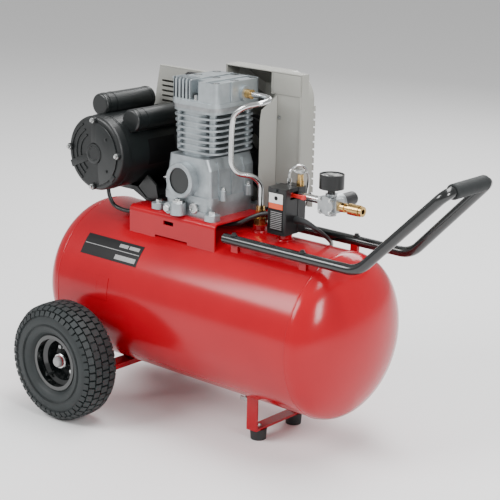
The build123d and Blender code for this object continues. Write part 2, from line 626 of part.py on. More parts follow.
with BuildPart() as cylinder_block:
    block_mid = ((BLOCK_LEFT + BLOCK_RIGHT) / 2, (BLOCK_FRONT + BLOCK_BACK) / 2)
    fin_pitch = (BLOCK_TOP - 6 - BLOCK_BOTTOM) / (FIN_COUNT - 1)
    with BuildSketch(Plane.XY.offset(BLOCK_BOTTOM)):
        with Locations((PUMP_X, 0)):
            RectangleRounded(2 * BORE_RADIUS + 22, 2 * (CYLINDER_Y + BORE_RADIUS) + 14, 24)
    extrude(amount=BLOCK_TOP - BLOCK_BOTTOM)
    for index in range(FIN_COUNT):
        shrink = FIN_TAPER * (1 - index / (FIN_COUNT - 1))
        with BuildSketch(Plane.XY.offset(BLOCK_BOTTOM + index * fin_pitch)):
            with Locations((block_mid[0] + shrink / 2, block_mid[1])):
                RectangleRounded(
                    BLOCK_RIGHT - BLOCK_LEFT - shrink, BLOCK_BACK - BLOCK_FRONT, 28
                )
        extrude(amount=FIN_THICK)
    with BuildSketch(Plane.XY.offset(BLOCK_TOP - 6)):
        with Locations(block_mid):
            RectangleRounded(BLOCK_RIGHT - BLOCK_LEFT, BLOCK_BACK - BLOCK_FRONT, 28)
    extrude(amount=6)
    corner_bolts = [
        (block_mid[0] + side_x * 46, block_mid[1] + side_y * 54)
        for side_x in (-1, 1) for side_y in (-1, 1)
    ]
    for bolt_x, bolt_y in corner_bolts:
        bar_z(bolt_x, bolt_y, BLOCK_BOTTOM, BLOCK_TOP, 8)
    for bore_x, bore_y in cylinder_places:
        bar_z(bore_x, bore_y, BLOCK_BOTTOM, BLOCK_TOP, BORE_RADIUS, Mode.SUBTRACT)

with BuildPart() as valve_plate:
    with BuildSketch(Plane.XY.offset(BLOCK_TOP)):
        with Locations(block_mid):
            RectangleRounded(BLOCK_RIGHT - BLOCK_LEFT + 4, BLOCK_BACK - BLOCK_FRONT + 2, 26)
    extrude(amount=VALVE_PLATE_TOP - BLOCK_TOP)
    for bore_x, bore_y in cylinder_places:
        with Locations((bore_x - 10, bore_y, BLOCK_TOP), (bore_x + 10, bore_y, BLOCK_TOP)):
            Cylinder(4, 20, mode=Mode.SUBTRACT)

head_mid = (block_mid[0], block_mid[1] + HEAD_OVERHANG / 2)
head_bolt_places = [
    (head_mid[0] + bolt_x, head_mid[1] + bolt_y)
    for bolt_x in (-52, 0, 52) for bolt_y in (-60, 0, 60) if bolt_y >= 0
]
head_bolt_places.append((head_mid[0] + 52, head_mid[1] - 60))
recess_bolt = (PUMP_X + 8, BLOCK_FRONT + 13)
head_deep = BLOCK_BACK - BLOCK_FRONT + HEAD_OVERHANG
fitting_z = HEAD_TOP - 28
with BuildPart() as cylinder_head:
    with BuildSketch(Plane.XY.offset(VALVE_PLATE_TOP)):
        with Locations(head_mid):
            RectangleRounded(BLOCK_RIGHT - BLOCK_LEFT + 2, head_deep, 20)
    extrude(amount=9)
    with BuildSketch(Plane.XY.offset(VALVE_PLATE_TOP + 9)):
        with Locations(head_mid):
            RectangleRounded(BLOCK_RIGHT - BLOCK_LEFT - 2, head_deep - 6, 14)
    extrude(amount=HEAD_TOP - VALVE_PLATE_TOP - 9)
    for fin_x in range(-82, -40, 10):
        block(fin_x, fin_x + 5, BLOCK_FRONT, BLOCK_FRONT + 30, VALVE_PLATE_TOP + 12,
              HEAD_TOP + 1, Mode.SUBTRACT)
    block(
        recess_bolt[0] - 12, recess_bolt[0] + 12, BLOCK_FRONT, BLOCK_FRONT + 26,
        VALVE_PLATE_TOP + 12, HEAD_TOP + 1, Mode.SUBTRACT,
    )
    for bolt_x, bolt_y in head_bolt_places:
        bar_z(bolt_x, bolt_y, HEAD_TOP - BOLT_SINK, HEAD_TOP + 1, 10, Mode.SUBTRACT)
    bar_x(FITTING_Y, fitting_z, BLOCK_RIGHT - 4, BLOCK_RIGHT + 6, 17)
    for bore_x, bore_y in cylinder_places:
        bar_z(bore_x, bore_y, VALVE_PLATE_TOP, VALVE_PLATE_TOP + 22, 20, Mode.SUBTRACT)
    bar_x(FITTING_Y, fitting_z, BLOCK_RIGHT - 50, BLOCK_RIGHT + 8, 5, Mode.SUBTRACT)

with BuildPart() as pump_bolts:
    for bolt_x, bolt_y in head_bolt_places:
        bar_z(bolt_x, bolt_y, HEAD_TOP - BOLT_SINK, HEAD_TOP - BOLT_SINK + 2, 8)
        hexagon(bolt_x, bolt_y, HEAD_TOP - BOLT_SINK + 2, HEAD_TOP, 6.5)
    bar_z(*recess_bolt, VALVE_PLATE_TOP + 12, VALVE_PLATE_TOP + 14, 8)
    hexagon(*recess_bolt, VALVE_PLATE_TOP + 14, VALVE_PLATE_TOP + 22, 6.5)
    for ear_x, ear_y in ear_places:
        bar_z(ear_x, ear_y, SADDLE_TOP, SADDLE_TOP + 13, 4.1)
        hexagon(ear_x, ear_y, SADDLE_TOP + 13, SADDLE_TOP + 20, 7.5)

with BuildPart() as intake_filter:
    bar_x(34, fitting_z, BLOCK_LEFT - 44, BLOCK_LEFT - 8, 25)
    bar_x(34, fitting_z, BLOCK_LEFT - 8, BLOCK_LEFT + 1, 10)

# ================================================================ belt drive
def grooved_wheel(centre_x, centre_z, radius, shaft_radius):
    """Profile of a V-grooved rim, drawn on the plane through the wheel's axis."""
    half = RIM_HALF
    top = BELT_TOP_WIDTH / 2 + BELT_GAP
    with BuildPart() as wheel:
        wheel_plane = Plane(origin=(centre_x, BELT_Y, centre_z), x_dir=(0, 1, 0), z_dir=(1, 0, 0))
        with BuildSketch(wheel_plane):
            with BuildLine():
                Polyline(
                    (-half, shaft_radius), (half, shaft_radius), (half, radius), (top, radius),
                    (top - 3.4, radius - GROOVE_DEPTH), (3.4 - top, radius - GROOVE_DEPTH),
                    (-top, radius), (-half, radius), close=True,
                )
            make_face()
        revolve(axis=Axis((centre_x, BELT_Y, centre_z), (0, 1, 0)))
    return wheel


motor_pulley = grooved_wheel(MOTOR_X, MOTOR_Z, PULLEY_RADIUS, SHAFT_RADIUS)
solid_flywheel = grooved_wheel(PUMP_X, CRANK_Z, FLYWHEEL_RADIUS, JOURNAL_RADIUS)
with BuildPart() as flywheel:
    add(solid_flywheel.part)
    with BuildSketch(Plane.XZ.offset(-(BELT_Y - RIM_HALF - 1))):
        with Locations((PUMP_X, CRANK_Z)):
            with PolarLocations(61, 5):
                Circle(23)
    extrude(amount=-(2 * RIM_HALF + 2), mode=Mode.SUBTRACT)


def belt_outline(offset):
    """A loop around both pulleys, at a distance inside their rims."""
    big = FLYWHEEL_RADIUS - offset
    small = PULLEY_RADIUS - offset
    hull_parts = Sketch() + [
        Pos(PUMP_X, CRANK_Z) * Circle(big), Pos(MOTOR_X, MOTOR_Z) * Circle(small)
    ]
    return make_hull(hull_parts.edges())


belt_outer = belt_outline(-0.5)
belt_inner = belt_outline(BELT_THICK - 0.5)
with BuildPart() as drive_belt:
    with BuildSketch(Plane.XZ.offset(-(BELT_Y - 3.9))):
        add(belt_outer)
        add(belt_inner, mode=Mode.SUBTRACT)
    extrude(amount=-7.8)

# ================================================================ belt guard
guard_window = [
    (-68, 763), (58, 763), (58, 716), (70, 716), (34, 673), (34, 478), (-110, 478),
    (-110, 600), (-68, 640),
]
guard_arc = GUARD_RIGHT - PUMP_X
with BuildSketch(mode=Mode.PRIVATE) as guard_outline:
    with BuildLine():
        bottom_half = sqrt(guard_arc**2 - (CRANK_Z - GUARD_BOTTOM) ** 2)
        low_right = (PUMP_X + bottom_half, GUARD_BOTTOM)
        mid_angle = -radians(25)
        ThreePointArc(
            (GUARD_RIGHT, CRANK_Z),
            (PUMP_X + guard_arc * cos(mid_angle), CRANK_Z + guard_arc * sin(mid_angle)),
            low_right,
        )
        Polyline(
            low_right, (-150, GUARD_BOTTOM), (-268, 514), (-303, 560), (-297, 608),
            (-272, GUARD_SHOULDER),
            (GUARD_STEP_X, GUARD_SHOULDER), (GUARD_STEP_X, GUARD_TOP), (GUARD_RIGHT, GUARD_TOP),
            (GUARD_RIGHT, CRANK_Z),
        )
    make_face()
guard_face = guard_outline.sketch
with BuildSketch(mode=Mode.PRIVATE) as rounded_outline:
    add(guard_face)
    fillet(rounded_outline.vertices().sort_by_distance((GUARD_RIGHT, GUARD_TOP, 0))[0], 60)
rounded_face = rounded_outline.sketch
rounded_inner = offset(rounded_face, -GUARD_WALL, kind=Kind.INTERSECTION, mode=Mode.PRIVATE)


def guard_body(face, y_front, y_back, bevel, drop):
    """A solid of the guard's outline with a bevelled back; drop lowers the left slope."""
    with BuildPart() as body:
        with BuildSketch(Plane.XZ.offset(-y_front)):
            add(face)
        extrude(amount=y_front - y_back + bevel)
        with BuildSketch(Plane.XZ.offset(bevel - y_back)):
            add(face)
        extrude(amount=-bevel, taper=GUARD_BEVEL_ANGLE)
        with BuildSketch(Plane.YZ.offset(-400)):
            with BuildLine():
                Polyline(
                    (GUARD_FRONT + 4, GUARD_SHOULDER + 5 - drop),
                    (GUARD_BACK + 20, GUARD_SHOULDER - 97 - drop),
                    (GUARD_BACK + 20, GUARD_TOP + 10), (GUARD_FRONT + 4, GUARD_TOP + 10),
                    close=True,
                )
            make_face()
        extrude(amount=400 + GUARD_STEP_X + drop, mode=Mode.SUBTRACT)
    return body.part


guard_shell = guard_body(rounded_face, GUARD_FRONT, GUARD_BACK, GUARD_BEVEL, 0)
guard_cavity = guard_body(
    rounded_inner, GUARD_FRONT + GUARD_WALL, GUARD_BACK - GUARD_WALL, GUARD_BEVEL - 1,
    GUARD_WALL,
)

with BuildPart() as guard_front:
    add(guard_shell)
    with BuildSketch(Plane.XZ.offset(-GUARD_FRONT)):
        add(guard_face)
        with Locations((-300, GUARD_TOP - 150)):
            Rectangle(2 * (300 + GUARD_STEP_X), 700, mode=Mode.SUBTRACT)
    extrude(amount=-GUARD_FRAME)
    add(guard_cavity, mode=Mode.SUBTRACT)
    split(bisect_by=Plane.XZ.offset(-GUARD_SPLIT), keep=Keep.TOP)
    with BuildSketch(Plane.XZ.offset(-GUARD_FRONT)):
        with BuildLine():
            Polyline(*guard_window, close=True)
        make_face()
    extrude(amount=-GUARD_WALL, mode=Mode.SUBTRACT)
    block(-320, 160, GUARD_FRONT, GUARD_STEP, GUARD_BOTTOM - 4, GUARD_STEP_Z, Mode.SUBTRACT)
    block(
        -320, GUARD_STEP_X, GUARD_FRONT, GUARD_FRONT + GUARD_WALL, GUARD_BOTTOM - 4,
        GUARD_TOP, Mode.SUBTRACT,
    )

with BuildPart() as guard_panel:
    with BuildSketch(Plane.XZ.offset(-GUARD_FRONT)):
        add(guard_face)
        with Locations((GUARD_STEP_X + 200, GUARD_TOP - 150)):
            Rectangle(400, 700, mode=Mode.SUBTRACT)
        with Locations((-100, GUARD_STEP_Z - 100)):
            Rectangle(500, 200, mode=Mode.SUBTRACT)
        with BuildLine():
            Polyline(*guard_window, close=True)
        make_face(mode=Mode.SUBTRACT)
        for slot_index in range(LOUVRE_COUNT):
            with Locations((LOUVRE_X, LOUVRE_TOP - LOUVRE_PITCH * slot_index)):
                SlotOverall(LOUVRE_LENGTH, LOUVRE_HIGH, mode=Mode.SUBTRACT)
        with Locations((MOTOR_X, MOTOR_Z)):
            Circle(SHAFT_RADIUS + 8, mode=Mode.SUBTRACT)
    extrude(amount=-GUARD_WALL)

with BuildPart() as guard_back:
    add(guard_shell)
    add(guard_cavity, mode=Mode.SUBTRACT)
    split(bisect_by=Plane.XZ.offset(-GUARD_SPLIT), keep=Keep.BOTTOM)

# ================================================================ air line
nut_end = BLOCK_RIGHT + 20
discharge_route = [
    (nut_end, FITTING_Y, fitting_z), (98, FITTING_Y, fitting_z), (122, 14, fitting_z - 2),
    (118, -14, fitting_z - 7), (92, -36, fitting_z - 14), (68, -44, fitting_z - 34),
    (64, -44, 650), (64, -44, 582), (72, -31, 561), (90, -2, 555),
    (VALVE_X, VALVE_Y, 536), (VALVE_X, VALVE_Y, TUBE_NUT_TOP),
]
discharge_tube = tube_along(
    discharge_route, TUBE_RADIUS, TUBE_RADIUS - 1.2
)

with BuildPart() as discharge_fittings:
    bar_x(FITTING_Y, fitting_z, BLOCK_RIGHT + 6, nut_end, 10)
    bar_x(FITTING_Y, fitting_z, BLOCK_RIGHT + 6, nut_end, TUBE_RADIUS - 1.2, Mode.SUBTRACT)
    bar_z(VALVE_X, VALVE_Y, TANK_TOP - 4, bung_top, BUNG_BORE - 0.05)
    hexagon(VALVE_X, VALVE_Y, bung_top, bung_top + 15, 14)
    bar_z(VALVE_X, VALVE_Y, bung_top + 15, VALVE_TOP, 9)
    hexagon(VALVE_X, VALVE_Y, VALVE_TOP, VALVE_TOP + 14, 12)
    bar_z(VALVE_X, VALVE_Y, VALVE_TOP + 14, TUBE_NUT_TOP, 9.5)

# ================================================================ pressure switch
switch_mid_x = (SWITCH_LEFT + SWITCH_RIGHT) / 2
with BuildPart() as switch_base:
    block(
        SWITCH_LEFT + 2, SWITCH_RIGHT - 2, SWITCH_SPLIT, SWITCH_BACK,
        SWITCH_BOTTOM, SWITCH_TOP - 2,
    )
    fillet(switch_base.edges().filter_by(Axis.Z), 4)
    block(SWITCH_LEFT + 6, SWITCH_RIGHT - 6, -18, SWITCH_SPLIT, bung_top + 6, SWITCH_BOTTOM + 12)

with BuildPart() as switch_cover:
    block(SWITCH_LEFT, SWITCH_RIGHT, SWITCH_FRONT, SWITCH_SPLIT, SWITCH_BOTTOM, SWITCH_TOP)
    fillet(switch_cover.edges().filter_by(Axis.Z).group_by(Axis.Y)[0], 4)
    block(
        SWITCH_LEFT + 3, SWITCH_RIGHT - 3, SWITCH_FRONT + 3, SWITCH_SPLIT, SWITCH_BOTTOM,
        SWITCH_TOP - 3, Mode.SUBTRACT,
    )
    block(SWITCH_RIGHT - 4, SWITCH_RIGHT, -16, 8, 525, 541, Mode.SUBTRACT)

with BuildPart() as cord_gland:
    with BuildSketch(Plane.YZ.offset(SWITCH_RIGHT)):
        with Locations((CORD_Y, CORD_Z)):
            Circle(8.5)
    extrude(amount=GLAND_LENGTH, taper=9)
    bar_x(-8, 486, SWITCH_LEFT - 8, SWITCH_LEFT, 8)

with BuildPart() as switch_lever:
    bar_z(SWITCH_RIGHT - 9, LEVER_Y, 528, 538, 4.5)
    block(SWITCH_RIGHT - 9, SWITCH_RIGHT + 26, LEVER_Y - 4, LEVER_Y + 4, 530, 536)
    bar_z(SWITCH_RIGHT + 24, LEVER_Y, 529, 537, 6)

with BuildPart() as pipe_nipples:
    bar_z(*switch_bung, TANK_TOP - 4, bung_top, BUNG_BORE - 0.05)
    hexagon(*switch_bung, bung_top, bung_top + 6, 11)
    bar_x(REGULATOR_Y, REGULATOR_Z + 3, SWITCH_RIGHT - 2, REGULATOR_X - 24, 8)

unloader_route = [
    (switch_mid_x - 14, 26, SWITCH_TOP + 10), (switch_mid_x - 14, 26, SWITCH_TOP + 24),
    (switch_mid_x - 6, 38, SWITCH_TOP + 38), (switch_mid_x + 4, 52, SWITCH_TOP + 35),
    (switch_mid_x + 10, 60, SWITCH_TOP + 16), (switch_mid_x + 8, 60, SWITCH_TOP - 20),
    (switch_mid_x, 56, SWITCH_TOP - 62), (switch_mid_x - 20, 50, 464),
    (switch_mid_x - 40, 34, 457), (VALVE_X + 14, VALVE_Y + 6, 455.5),
]
unloader_pipe = tube_along(unloader_route, 2.6)
with BuildPart() as unloader_tube:
    add(unloader_pipe.part)
    bar_z(switch_mid_x - 14, 26, SWITCH_TOP - 2, SWITCH_TOP + 10, 5)

with BuildPart() as safety_valve:
    bar_z(switch_mid_x + 14, 28, SWITCH_TOP - 2, SWITCH_TOP + 8, 8)
    bar_z(switch_mid_x + 14, 28, SWITCH_TOP + 8, SWITCH_TOP + 22, 6.5)
    bar_z(switch_mid_x + 14, 28, SWITCH_TOP + 10, SWITCH_TOP + 23, 2.6, Mode.SUBTRACT)

with BuildPart() as safety_ring:
    bar_z(switch_mid_x + 14, 28, SWITCH_TOP + 15, SWITCH_TOP + 28, 2.2)
    with Locations((switch_mid_x + 14, 28, SWITCH_TOP + 29)):
        Cylinder(15, 2)
        Cylinder(11, 2, mode=Mode.SUBTRACT)
    block(switch_mid_x + 1, switch_mid_x + 27, 26, 30, SWITCH_TOP + 28, SWITCH_TOP + 30)

# ================================================================ regulator and outlet
with BuildPart() as regulator_body:
    bar_y(REGULATOR_X, REGULATOR_Z, REGULATOR_Y - 20, REGULATOR_Y + 30, REGULATOR_RADIUS)
    block(REGULATOR_X - 24, REGULATOR_X + 24, REGULATOR_Y - 14, REGULATOR_Y + 14,
          REGULATOR_Z - 14, REGULATOR_Z + 14)
    bar_z(REGULATOR_X, REGULATOR_Y, REGULATOR_Z - 24, REGULATOR_Z + 22, 12)
    bar_y(REGULATOR_X, REGULATOR_Z, REGULATOR_Y + 12, REGULATOR_Y + 31, 4.3, Mode.SUBTRACT)

with BuildPart() as regulator_knob:
    bar_y(REGULATOR_X, REGULATOR_Z, REGULATOR_Y + 15, REGULATOR_Y + 32, 4)
    bar_y(REGULATOR_X, REGULATOR_Z, REGULATOR_Y + 32, REGULATOR_Y + 76, 14.5)
    fillet(regulator_knob.edges().group_by(Axis.Y)[-1], 3)

with BuildPart() as pressure_gauge:
    bar_z(REGULATOR_X, REGULATOR_Y, REGULATOR_Z + 22, REGULATOR_Z + 28, 8)
    bar_z(REGULATOR_X, REGULATOR_Y, REGULATOR_Z + 28, GAUGE_BOTTOM, 5.5)
    bar_z(REGULATOR_X, REGULATOR_Y, GAUGE_BOTTOM, GAUGE_TOP, GAUGE_RADIUS)
    bar_z(REGULATOR_X, REGULATOR_Y, GAUGE_TOP - 6, GAUGE_TOP, GAUGE_RADIUS - 2, Mode.SUBTRACT)
    bar_z(REGULATOR_X, REGULATOR_Y, GAUGE_TOP - 16, GAUGE_TOP - 5, 1.6, Mode.SUBTRACT)

with BuildPart() as gauge_needle:
    bar_z(REGULATOR_X, REGULATOR_Y, GAUGE_TOP - 14, GAUGE_TOP - 3, 1.5)
    block(REGULATOR_X - 18, REGULATOR_X + 5, REGULATOR_Y - 0.8, REGULATOR_Y + 0.8,
          GAUGE_TOP - 4.6, GAUGE_TOP - 3.4)

coupler_x = REGULATOR_X + 24
coupler_z = REGULATOR_Z - 2
with BuildPart() as coupler_body:
    bar_x(REGULATOR_Y, coupler_z, coupler_x, coupler_x + 14, 10)
    bar_x(REGULATOR_Y, coupler_z, coupler_x + 14, coupler_x + 58, 8)
    bar_x(REGULATOR_Y, coupler_z, coupler_x + 52, coupler_x + 58, 10.5)
    bar_x(REGULATOR_Y, coupler_z, coupler_x + 4, coupler_x + 60, 5.2, Mode.SUBTRACT)

with BuildPart() as coupler_sleeve:
    bar_x(REGULATOR_Y, coupler_z, coupler_x + 24, coupler_x + 51, 12)
    bar_x(REGULATOR_Y, coupler_z, coupler_x + 24, coupler_x + 51, 8.08, Mode.SUBTRACT)

# ================================================================ drain
drain_top = TANK_Z - TANK_RADIUS - DRAIN_HEIGHT
with BuildPart() as drain_valve:
    bar_z(DRAIN_X, 0, drain_top, drain_top + 10, BUNG_BORE - 0.05)
    bar_z(DRAIN_X, 0, drain_top - 18, drain_top, 9)
    bar_y(DRAIN_X, drain_top - 9, -18, 0, 6)

with BuildPart() as drain_handle:
    block(DRAIN_X - 14, DRAIN_X + 14, -23, -18.4, drain_top - 13, drain_top - 5)
    bar_y(DRAIN_X, drain_top - 9, -22, -18.4, 6)

# ================================================================ cables
motor_cable_route = [
    (-257, -90, 487.6), (-254, -90, 467), (-243, -88, 447), (-216, -84, 439), (-176, -78, 441),
    (-120, -66, 445), (-60, -52, 446), (0, -42, 447), (46, -35, 447), (78, -29, 453),
    (104, -24, 470), (128, -16, 482), (SWITCH_LEFT - 8, -8, 486),
]
motor_cable = tube_along(motor_cable_route, CABLE_RADIUS)

# The supply cord leaves the switch, crosses the tank under the far handle tube, hangs
# behind the tank and ends in a coil on the floor with its plug beside it.
cord_route = [
    (SWITCH_RIGHT + GLAND_LENGTH, CORD_Y, CORD_Z), (242, CORD_Y, 477), (259, 14, 464),
    (263, 36, 447), (254, 60, 433), (238, 86, 421), (216, 116, 399), (190, 146, 369),
    (166, 168, 331), (146, 182, 288), (130, 190, 240), (122, 193, 188), (120, 194, 136),
    (118, 196, 86), (112, 204, 44), (98, 222, 15), (74, 240, CORD_RADIUS + 0.1),
    (44, 246, CORD_RADIUS + 0.1), (20, 234, CORD_RADIUS + 0.1),
]
cord_lead = tube_along(cord_route, CORD_RADIUS)
tail_route = [
    (-2, 336, CORD_RADIUS + 0.1), (-20, 341, CORD_RADIUS + 0.4), (-42, 340, CORD_RADIUS + 3),
    (-62, PLUG_Y, PLUG_RADIUS), (PLUG_START, PLUG_Y, PLUG_RADIUS),
]
cord_tail = tube_along(tail_route, CORD_RADIUS)
with BuildPart() as power_cord:
    add(cord_lead.part)
    add(cord_tail.part)

with BuildPart() as cord_coil:
    with BuildSketch(Plane.XY):
        with Locations((COIL_X, COIL_Y)):
            Circle(COIL_RADIUS + 2 * CORD_RADIUS + 0.5)
            Circle(COIL_RADIUS - 2 * CORD_RADIUS - 0.5, mode=Mode.SUBTRACT)
    extrude(amount=4 * CORD_RADIUS + 1)

with BuildPart() as cord_plug:
    bar_x(PLUG_Y, PLUG_RADIUS, PLUG_END, PLUG_START, PLUG_RADIUS)
    for blade_side in (-1, 1):
        blade_z = PLUG_RADIUS + blade_side * BLADE_SPACING / 2
        block(PLUG_END - 18, PLUG_END, PLUG_Y - 3.2, PLUG_Y + 3.2, blade_z - 0.75, blade_z + 0.75)
    bar_x(PLUG_Y - 8, PLUG_RADIUS, PLUG_END - 21, PLUG_END, 2.4)

pieces = {
    "tank_barrel": tank_barrel, "tank_heads": tank_heads, "saddle_plate": saddle_plate,
    "axle_bracket": axle_bracket, "foot_bracket": foot_bracket, "rubber_feet": rubber_feet,
    "tyre_front": tyre_front, "rim_front": rim_front,
    "tyre_rear": tyre_rear, "rim_rear": rim_rear, "handle_tube": handle_tube,
    "handle_grip": handle_grip, "motor_shell": motor_shell,
    "motor_front_bell": motor_front_bell, "motor_rear_bell": motor_rear_bell,
    "motor_stator": motor_stator,
    "motor_rotor": motor_rotor, "capacitor_covers": capacitor_covers,
    "motor_bracket": motor_bracket, "pump_base": pump_base, "oil_fill_plug": oil_fill_plug,
    "crankcase": crankcase, "bearing_cover": bearing_cover, "crank_bearings": crank_bearings,
    "crankshaft": crankshaft, "connecting_rods": connecting_rods, "pistons": pistons,
    "cylinder_block": cylinder_block, "valve_plate": valve_plate,
    "cylinder_head": cylinder_head, "pump_bolts": pump_bolts, "intake_filter": intake_filter,
    "motor_pulley": motor_pulley, "flywheel": flywheel, "drive_belt": drive_belt,
    "guard_front": guard_front, "guard_panel": guard_panel, "guard_back": guard_back,
    "discharge_tube": discharge_tube, "discharge_fittings": discharge_fittings,
    "switch_base": switch_base,
    "switch_cover": switch_cover, "switch_lever": switch_lever,
    "pipe_nipples": pipe_nipples, "unloader_tube": unloader_tube,
    "safety_valve": safety_valve, "safety_ring": safety_ring,
    "regulator_body": regulator_body, "regulator_knob": regulator_knob,
    "pressure_gauge": pressure_gauge, "gauge_needle": gauge_needle,
    "coupler_body": coupler_body, "coupler_sleeve": coupler_sleeve,
    "drain_valve": drain_valve, "drain_handle": drain_handle, "motor_cable": motor_cable,
    "cord_gland": cord_gland, "power_cord": power_cord, "cord_coil": cord_coil,
    "cord_plug": cord_plug,
}
for piece_name, piece in pieces.items():
    save(piece, piece_name)
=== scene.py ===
from math import cos, pi, radians, sin, sqrt

import bmesh
import bpy
from mathutils import Matrix, Quaternion, Vector


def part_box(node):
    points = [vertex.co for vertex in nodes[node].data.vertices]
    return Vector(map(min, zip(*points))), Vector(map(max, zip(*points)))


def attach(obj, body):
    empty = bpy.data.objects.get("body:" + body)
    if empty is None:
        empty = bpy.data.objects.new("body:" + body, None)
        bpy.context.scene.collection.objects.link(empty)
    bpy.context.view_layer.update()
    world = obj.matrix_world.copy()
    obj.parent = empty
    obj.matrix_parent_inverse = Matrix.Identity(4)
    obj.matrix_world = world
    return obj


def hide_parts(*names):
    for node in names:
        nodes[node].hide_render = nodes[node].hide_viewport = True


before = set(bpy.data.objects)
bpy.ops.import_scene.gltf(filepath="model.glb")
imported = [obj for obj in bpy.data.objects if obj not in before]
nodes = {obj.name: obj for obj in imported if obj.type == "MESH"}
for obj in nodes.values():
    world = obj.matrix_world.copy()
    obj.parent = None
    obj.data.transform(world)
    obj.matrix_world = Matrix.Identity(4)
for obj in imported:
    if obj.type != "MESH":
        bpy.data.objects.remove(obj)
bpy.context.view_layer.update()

bl_info = {
    "name": "Workshop air compressor",
    "version": (1, 0, 0),
    "blender": (4, 5, 0),
    "location": "3D View > Sidebar > Compressor",
    "description": "Finishes and small parts of a belt-driven air compressor around its CAD frame",
    "category": "Object",
}

MM = 0.001
materials = {}

TANK_AXIS = 256 * MM
TANK_RADIUS = 178 * MM
TANK_SEAM = 330 * MM
MOTOR_FACE = -140 * MM
MOTOR_RADIUS = 82.5 * MM
TYRE_RADIUS = 131 * MM
TYRE_HALF = 44.5 * MM
RIM_RADIUS = 57 * MM
HANDLE_Y = 91 * MM
FOOT_Y = 60 * MM
HOOD_PITCH = 16.2 * MM
GUARD_BEVEL = radians(44)
LUG_RING = 74 * MM
TICKS = 31
LENS = 108.35
CAMERA_ROLL = 1.38

# Pieces are laid out from the middle of the tank, and moved to the frame's origin at the end.
barrel_low, barrel_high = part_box("tank_barrel")
SHIFT = Vector(((barrel_low.x + barrel_high.x) / 2, 0, 0))


def mm(*points):
    """Points given in millimetres, in metres."""
    return [tuple(value * MM for value in point) for point in points]


def at(x, y, z):
    """A place given in millimetres, in metres."""
    return Vector((x * MM, y * MM, z * MM))


def box(name):
    """A node's corners, measured from the middle of the tank."""
    low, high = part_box(name)
    return low - SHIFT, high - SHIFT


# ------------------------------------------------------------------ properties
class COMPRESSOR_PG_paint(bpy.types.PropertyGroup):
    """Colours of the finishes a user would change."""
    tank: bpy.props.FloatVectorProperty(
        name="Tank", description="Enamel of the tank and its brackets", subtype="COLOR",
        size=3, min=0, max=1, default=(0.40, 0.0015, 0.010))
    guard: bpy.props.FloatVectorProperty(
        name="Guard", description="Powder coat of the belt guard", subtype="COLOR",
        size=3, min=0, max=1, default=(0.30, 0.30, 0.272))
    black: bpy.props.FloatVectorProperty(
        name="Black parts", description="Paint of the motor and the handle", subtype="COLOR",
        size=3, min=0, max=1, default=(0.0045, 0.006, 0.0062))
    casting: bpy.props.FloatVectorProperty(
        name="Castings", description="Cast aluminium of the pump", subtype="COLOR",
        size=3, min=0, max=1, default=(0.42, 0.46, 0.48))
    tyre: bpy.props.FloatVectorProperty(
        name="Tyre", description="Rubber of the tyres", subtype="COLOR",
        size=3, min=0, max=1, default=(0.0085, 0.012, 0.0125))


class COMPRESSOR_PG_sizes(bpy.types.PropertyGroup):
    """Sizes of the pieces that are made around the frame."""
    tread_depth: bpy.props.FloatProperty(
        name="Tread depth", description="Height of a tread block", unit="LENGTH",
        default=5.5 * MM, min=1 * MM, max=9 * MM)
    tread_count: bpy.props.IntProperty(
        name="Tread blocks", description="Blocks in one row round a tyre", default=44,
        min=20, max=80)
    weld_radius: bpy.props.FloatProperty(
        name="Weld bead", description="Half width of the tank's seams", unit="LENGTH",
        default=1.6 * MM, min=0.5 * MM, max=4 * MM)
    screw_radius: bpy.props.FloatProperty(
        name="Screw head", description="Half width of a small hex head", unit="LENGTH",
        default=4.2 * MM, min=2 * MM, max=8 * MM)
    cord_diameter: bpy.props.FloatProperty(
        name="Cord", description="Thickness of the supply cord", unit="LENGTH",
        default=9 * MM, min=5 * MM, max=12 * MM)


# ------------------------------------------------------------------ node group helpers
def wire(tree, source, out, target, into):
    """Links one node's named output to another's input."""
    tree.links.new(source.outputs[out], target.inputs[into])


def node_of(tree, kind, **settings):
    """A node with its plain settings."""
    made = tree.nodes.new(kind)
    for key, value in settings.items():
        setattr(made, key, value)
    return made


def new_group(name, kind, inputs, outputs):
    """A node group, its inlet and its outlet; a socket is a name, a type and maybe a default."""
    tree = bpy.data.node_groups.new(name, kind)
    for direction, sockets in (("INPUT", inputs), ("OUTPUT", outputs)):
        for title, socket_type, *default in sockets:
            socket = tree.interface.new_socket(
                name=title, in_out=direction, socket_type="NodeSocket" + socket_type)
            if default:
                socket.default_value = default[0]
    return tree, node_of(tree, "NodeGroupInput"), node_of(tree, "NodeGroupOutput")


def grain_group():
    """Cloudy blotches and a fine grain over a surface, both from 0 to 1."""
    tree, inlet, outlet = new_group(
        "surface_grain", "ShaderNodeTree",
        [("Vector", "Vector"), ("Blotch Scale", "Float", 12.0), ("Grain Scale", "Float", 600.0)],
        [("Blotch", "Float"), ("Grain", "Float")])
    blotch = node_of(tree, "ShaderNodeTexNoise")
    blotch.inputs["Detail"].default_value = 4
    blotch.inputs["Roughness"].default_value = 0.55
    grain = node_of(tree, "ShaderNodeTexNoise")
    grain.inputs["Detail"].default_value = 3
    grain.inputs["Roughness"].default_value = 0.6
    spread = node_of(tree, "ShaderNodeMapRange")
    spread.inputs["From Min"].default_value = 0.3
    spread.inputs["From Max"].default_value = 0.7
    wire(tree, inlet, "Vector", blotch, "Vector")
    wire(tree, inlet, "Vector", grain, "Vector")
    wire(tree, inlet, "Blotch Scale", blotch, "Scale")
    wire(tree, inlet, "Grain Scale", grain, "Scale")
    wire(tree, blotch, "Fac", spread, "Value")
    wire(tree, spread, "Result", outlet, "Blotch")
    wire(tree, grain, "Fac", outlet, "Grain")


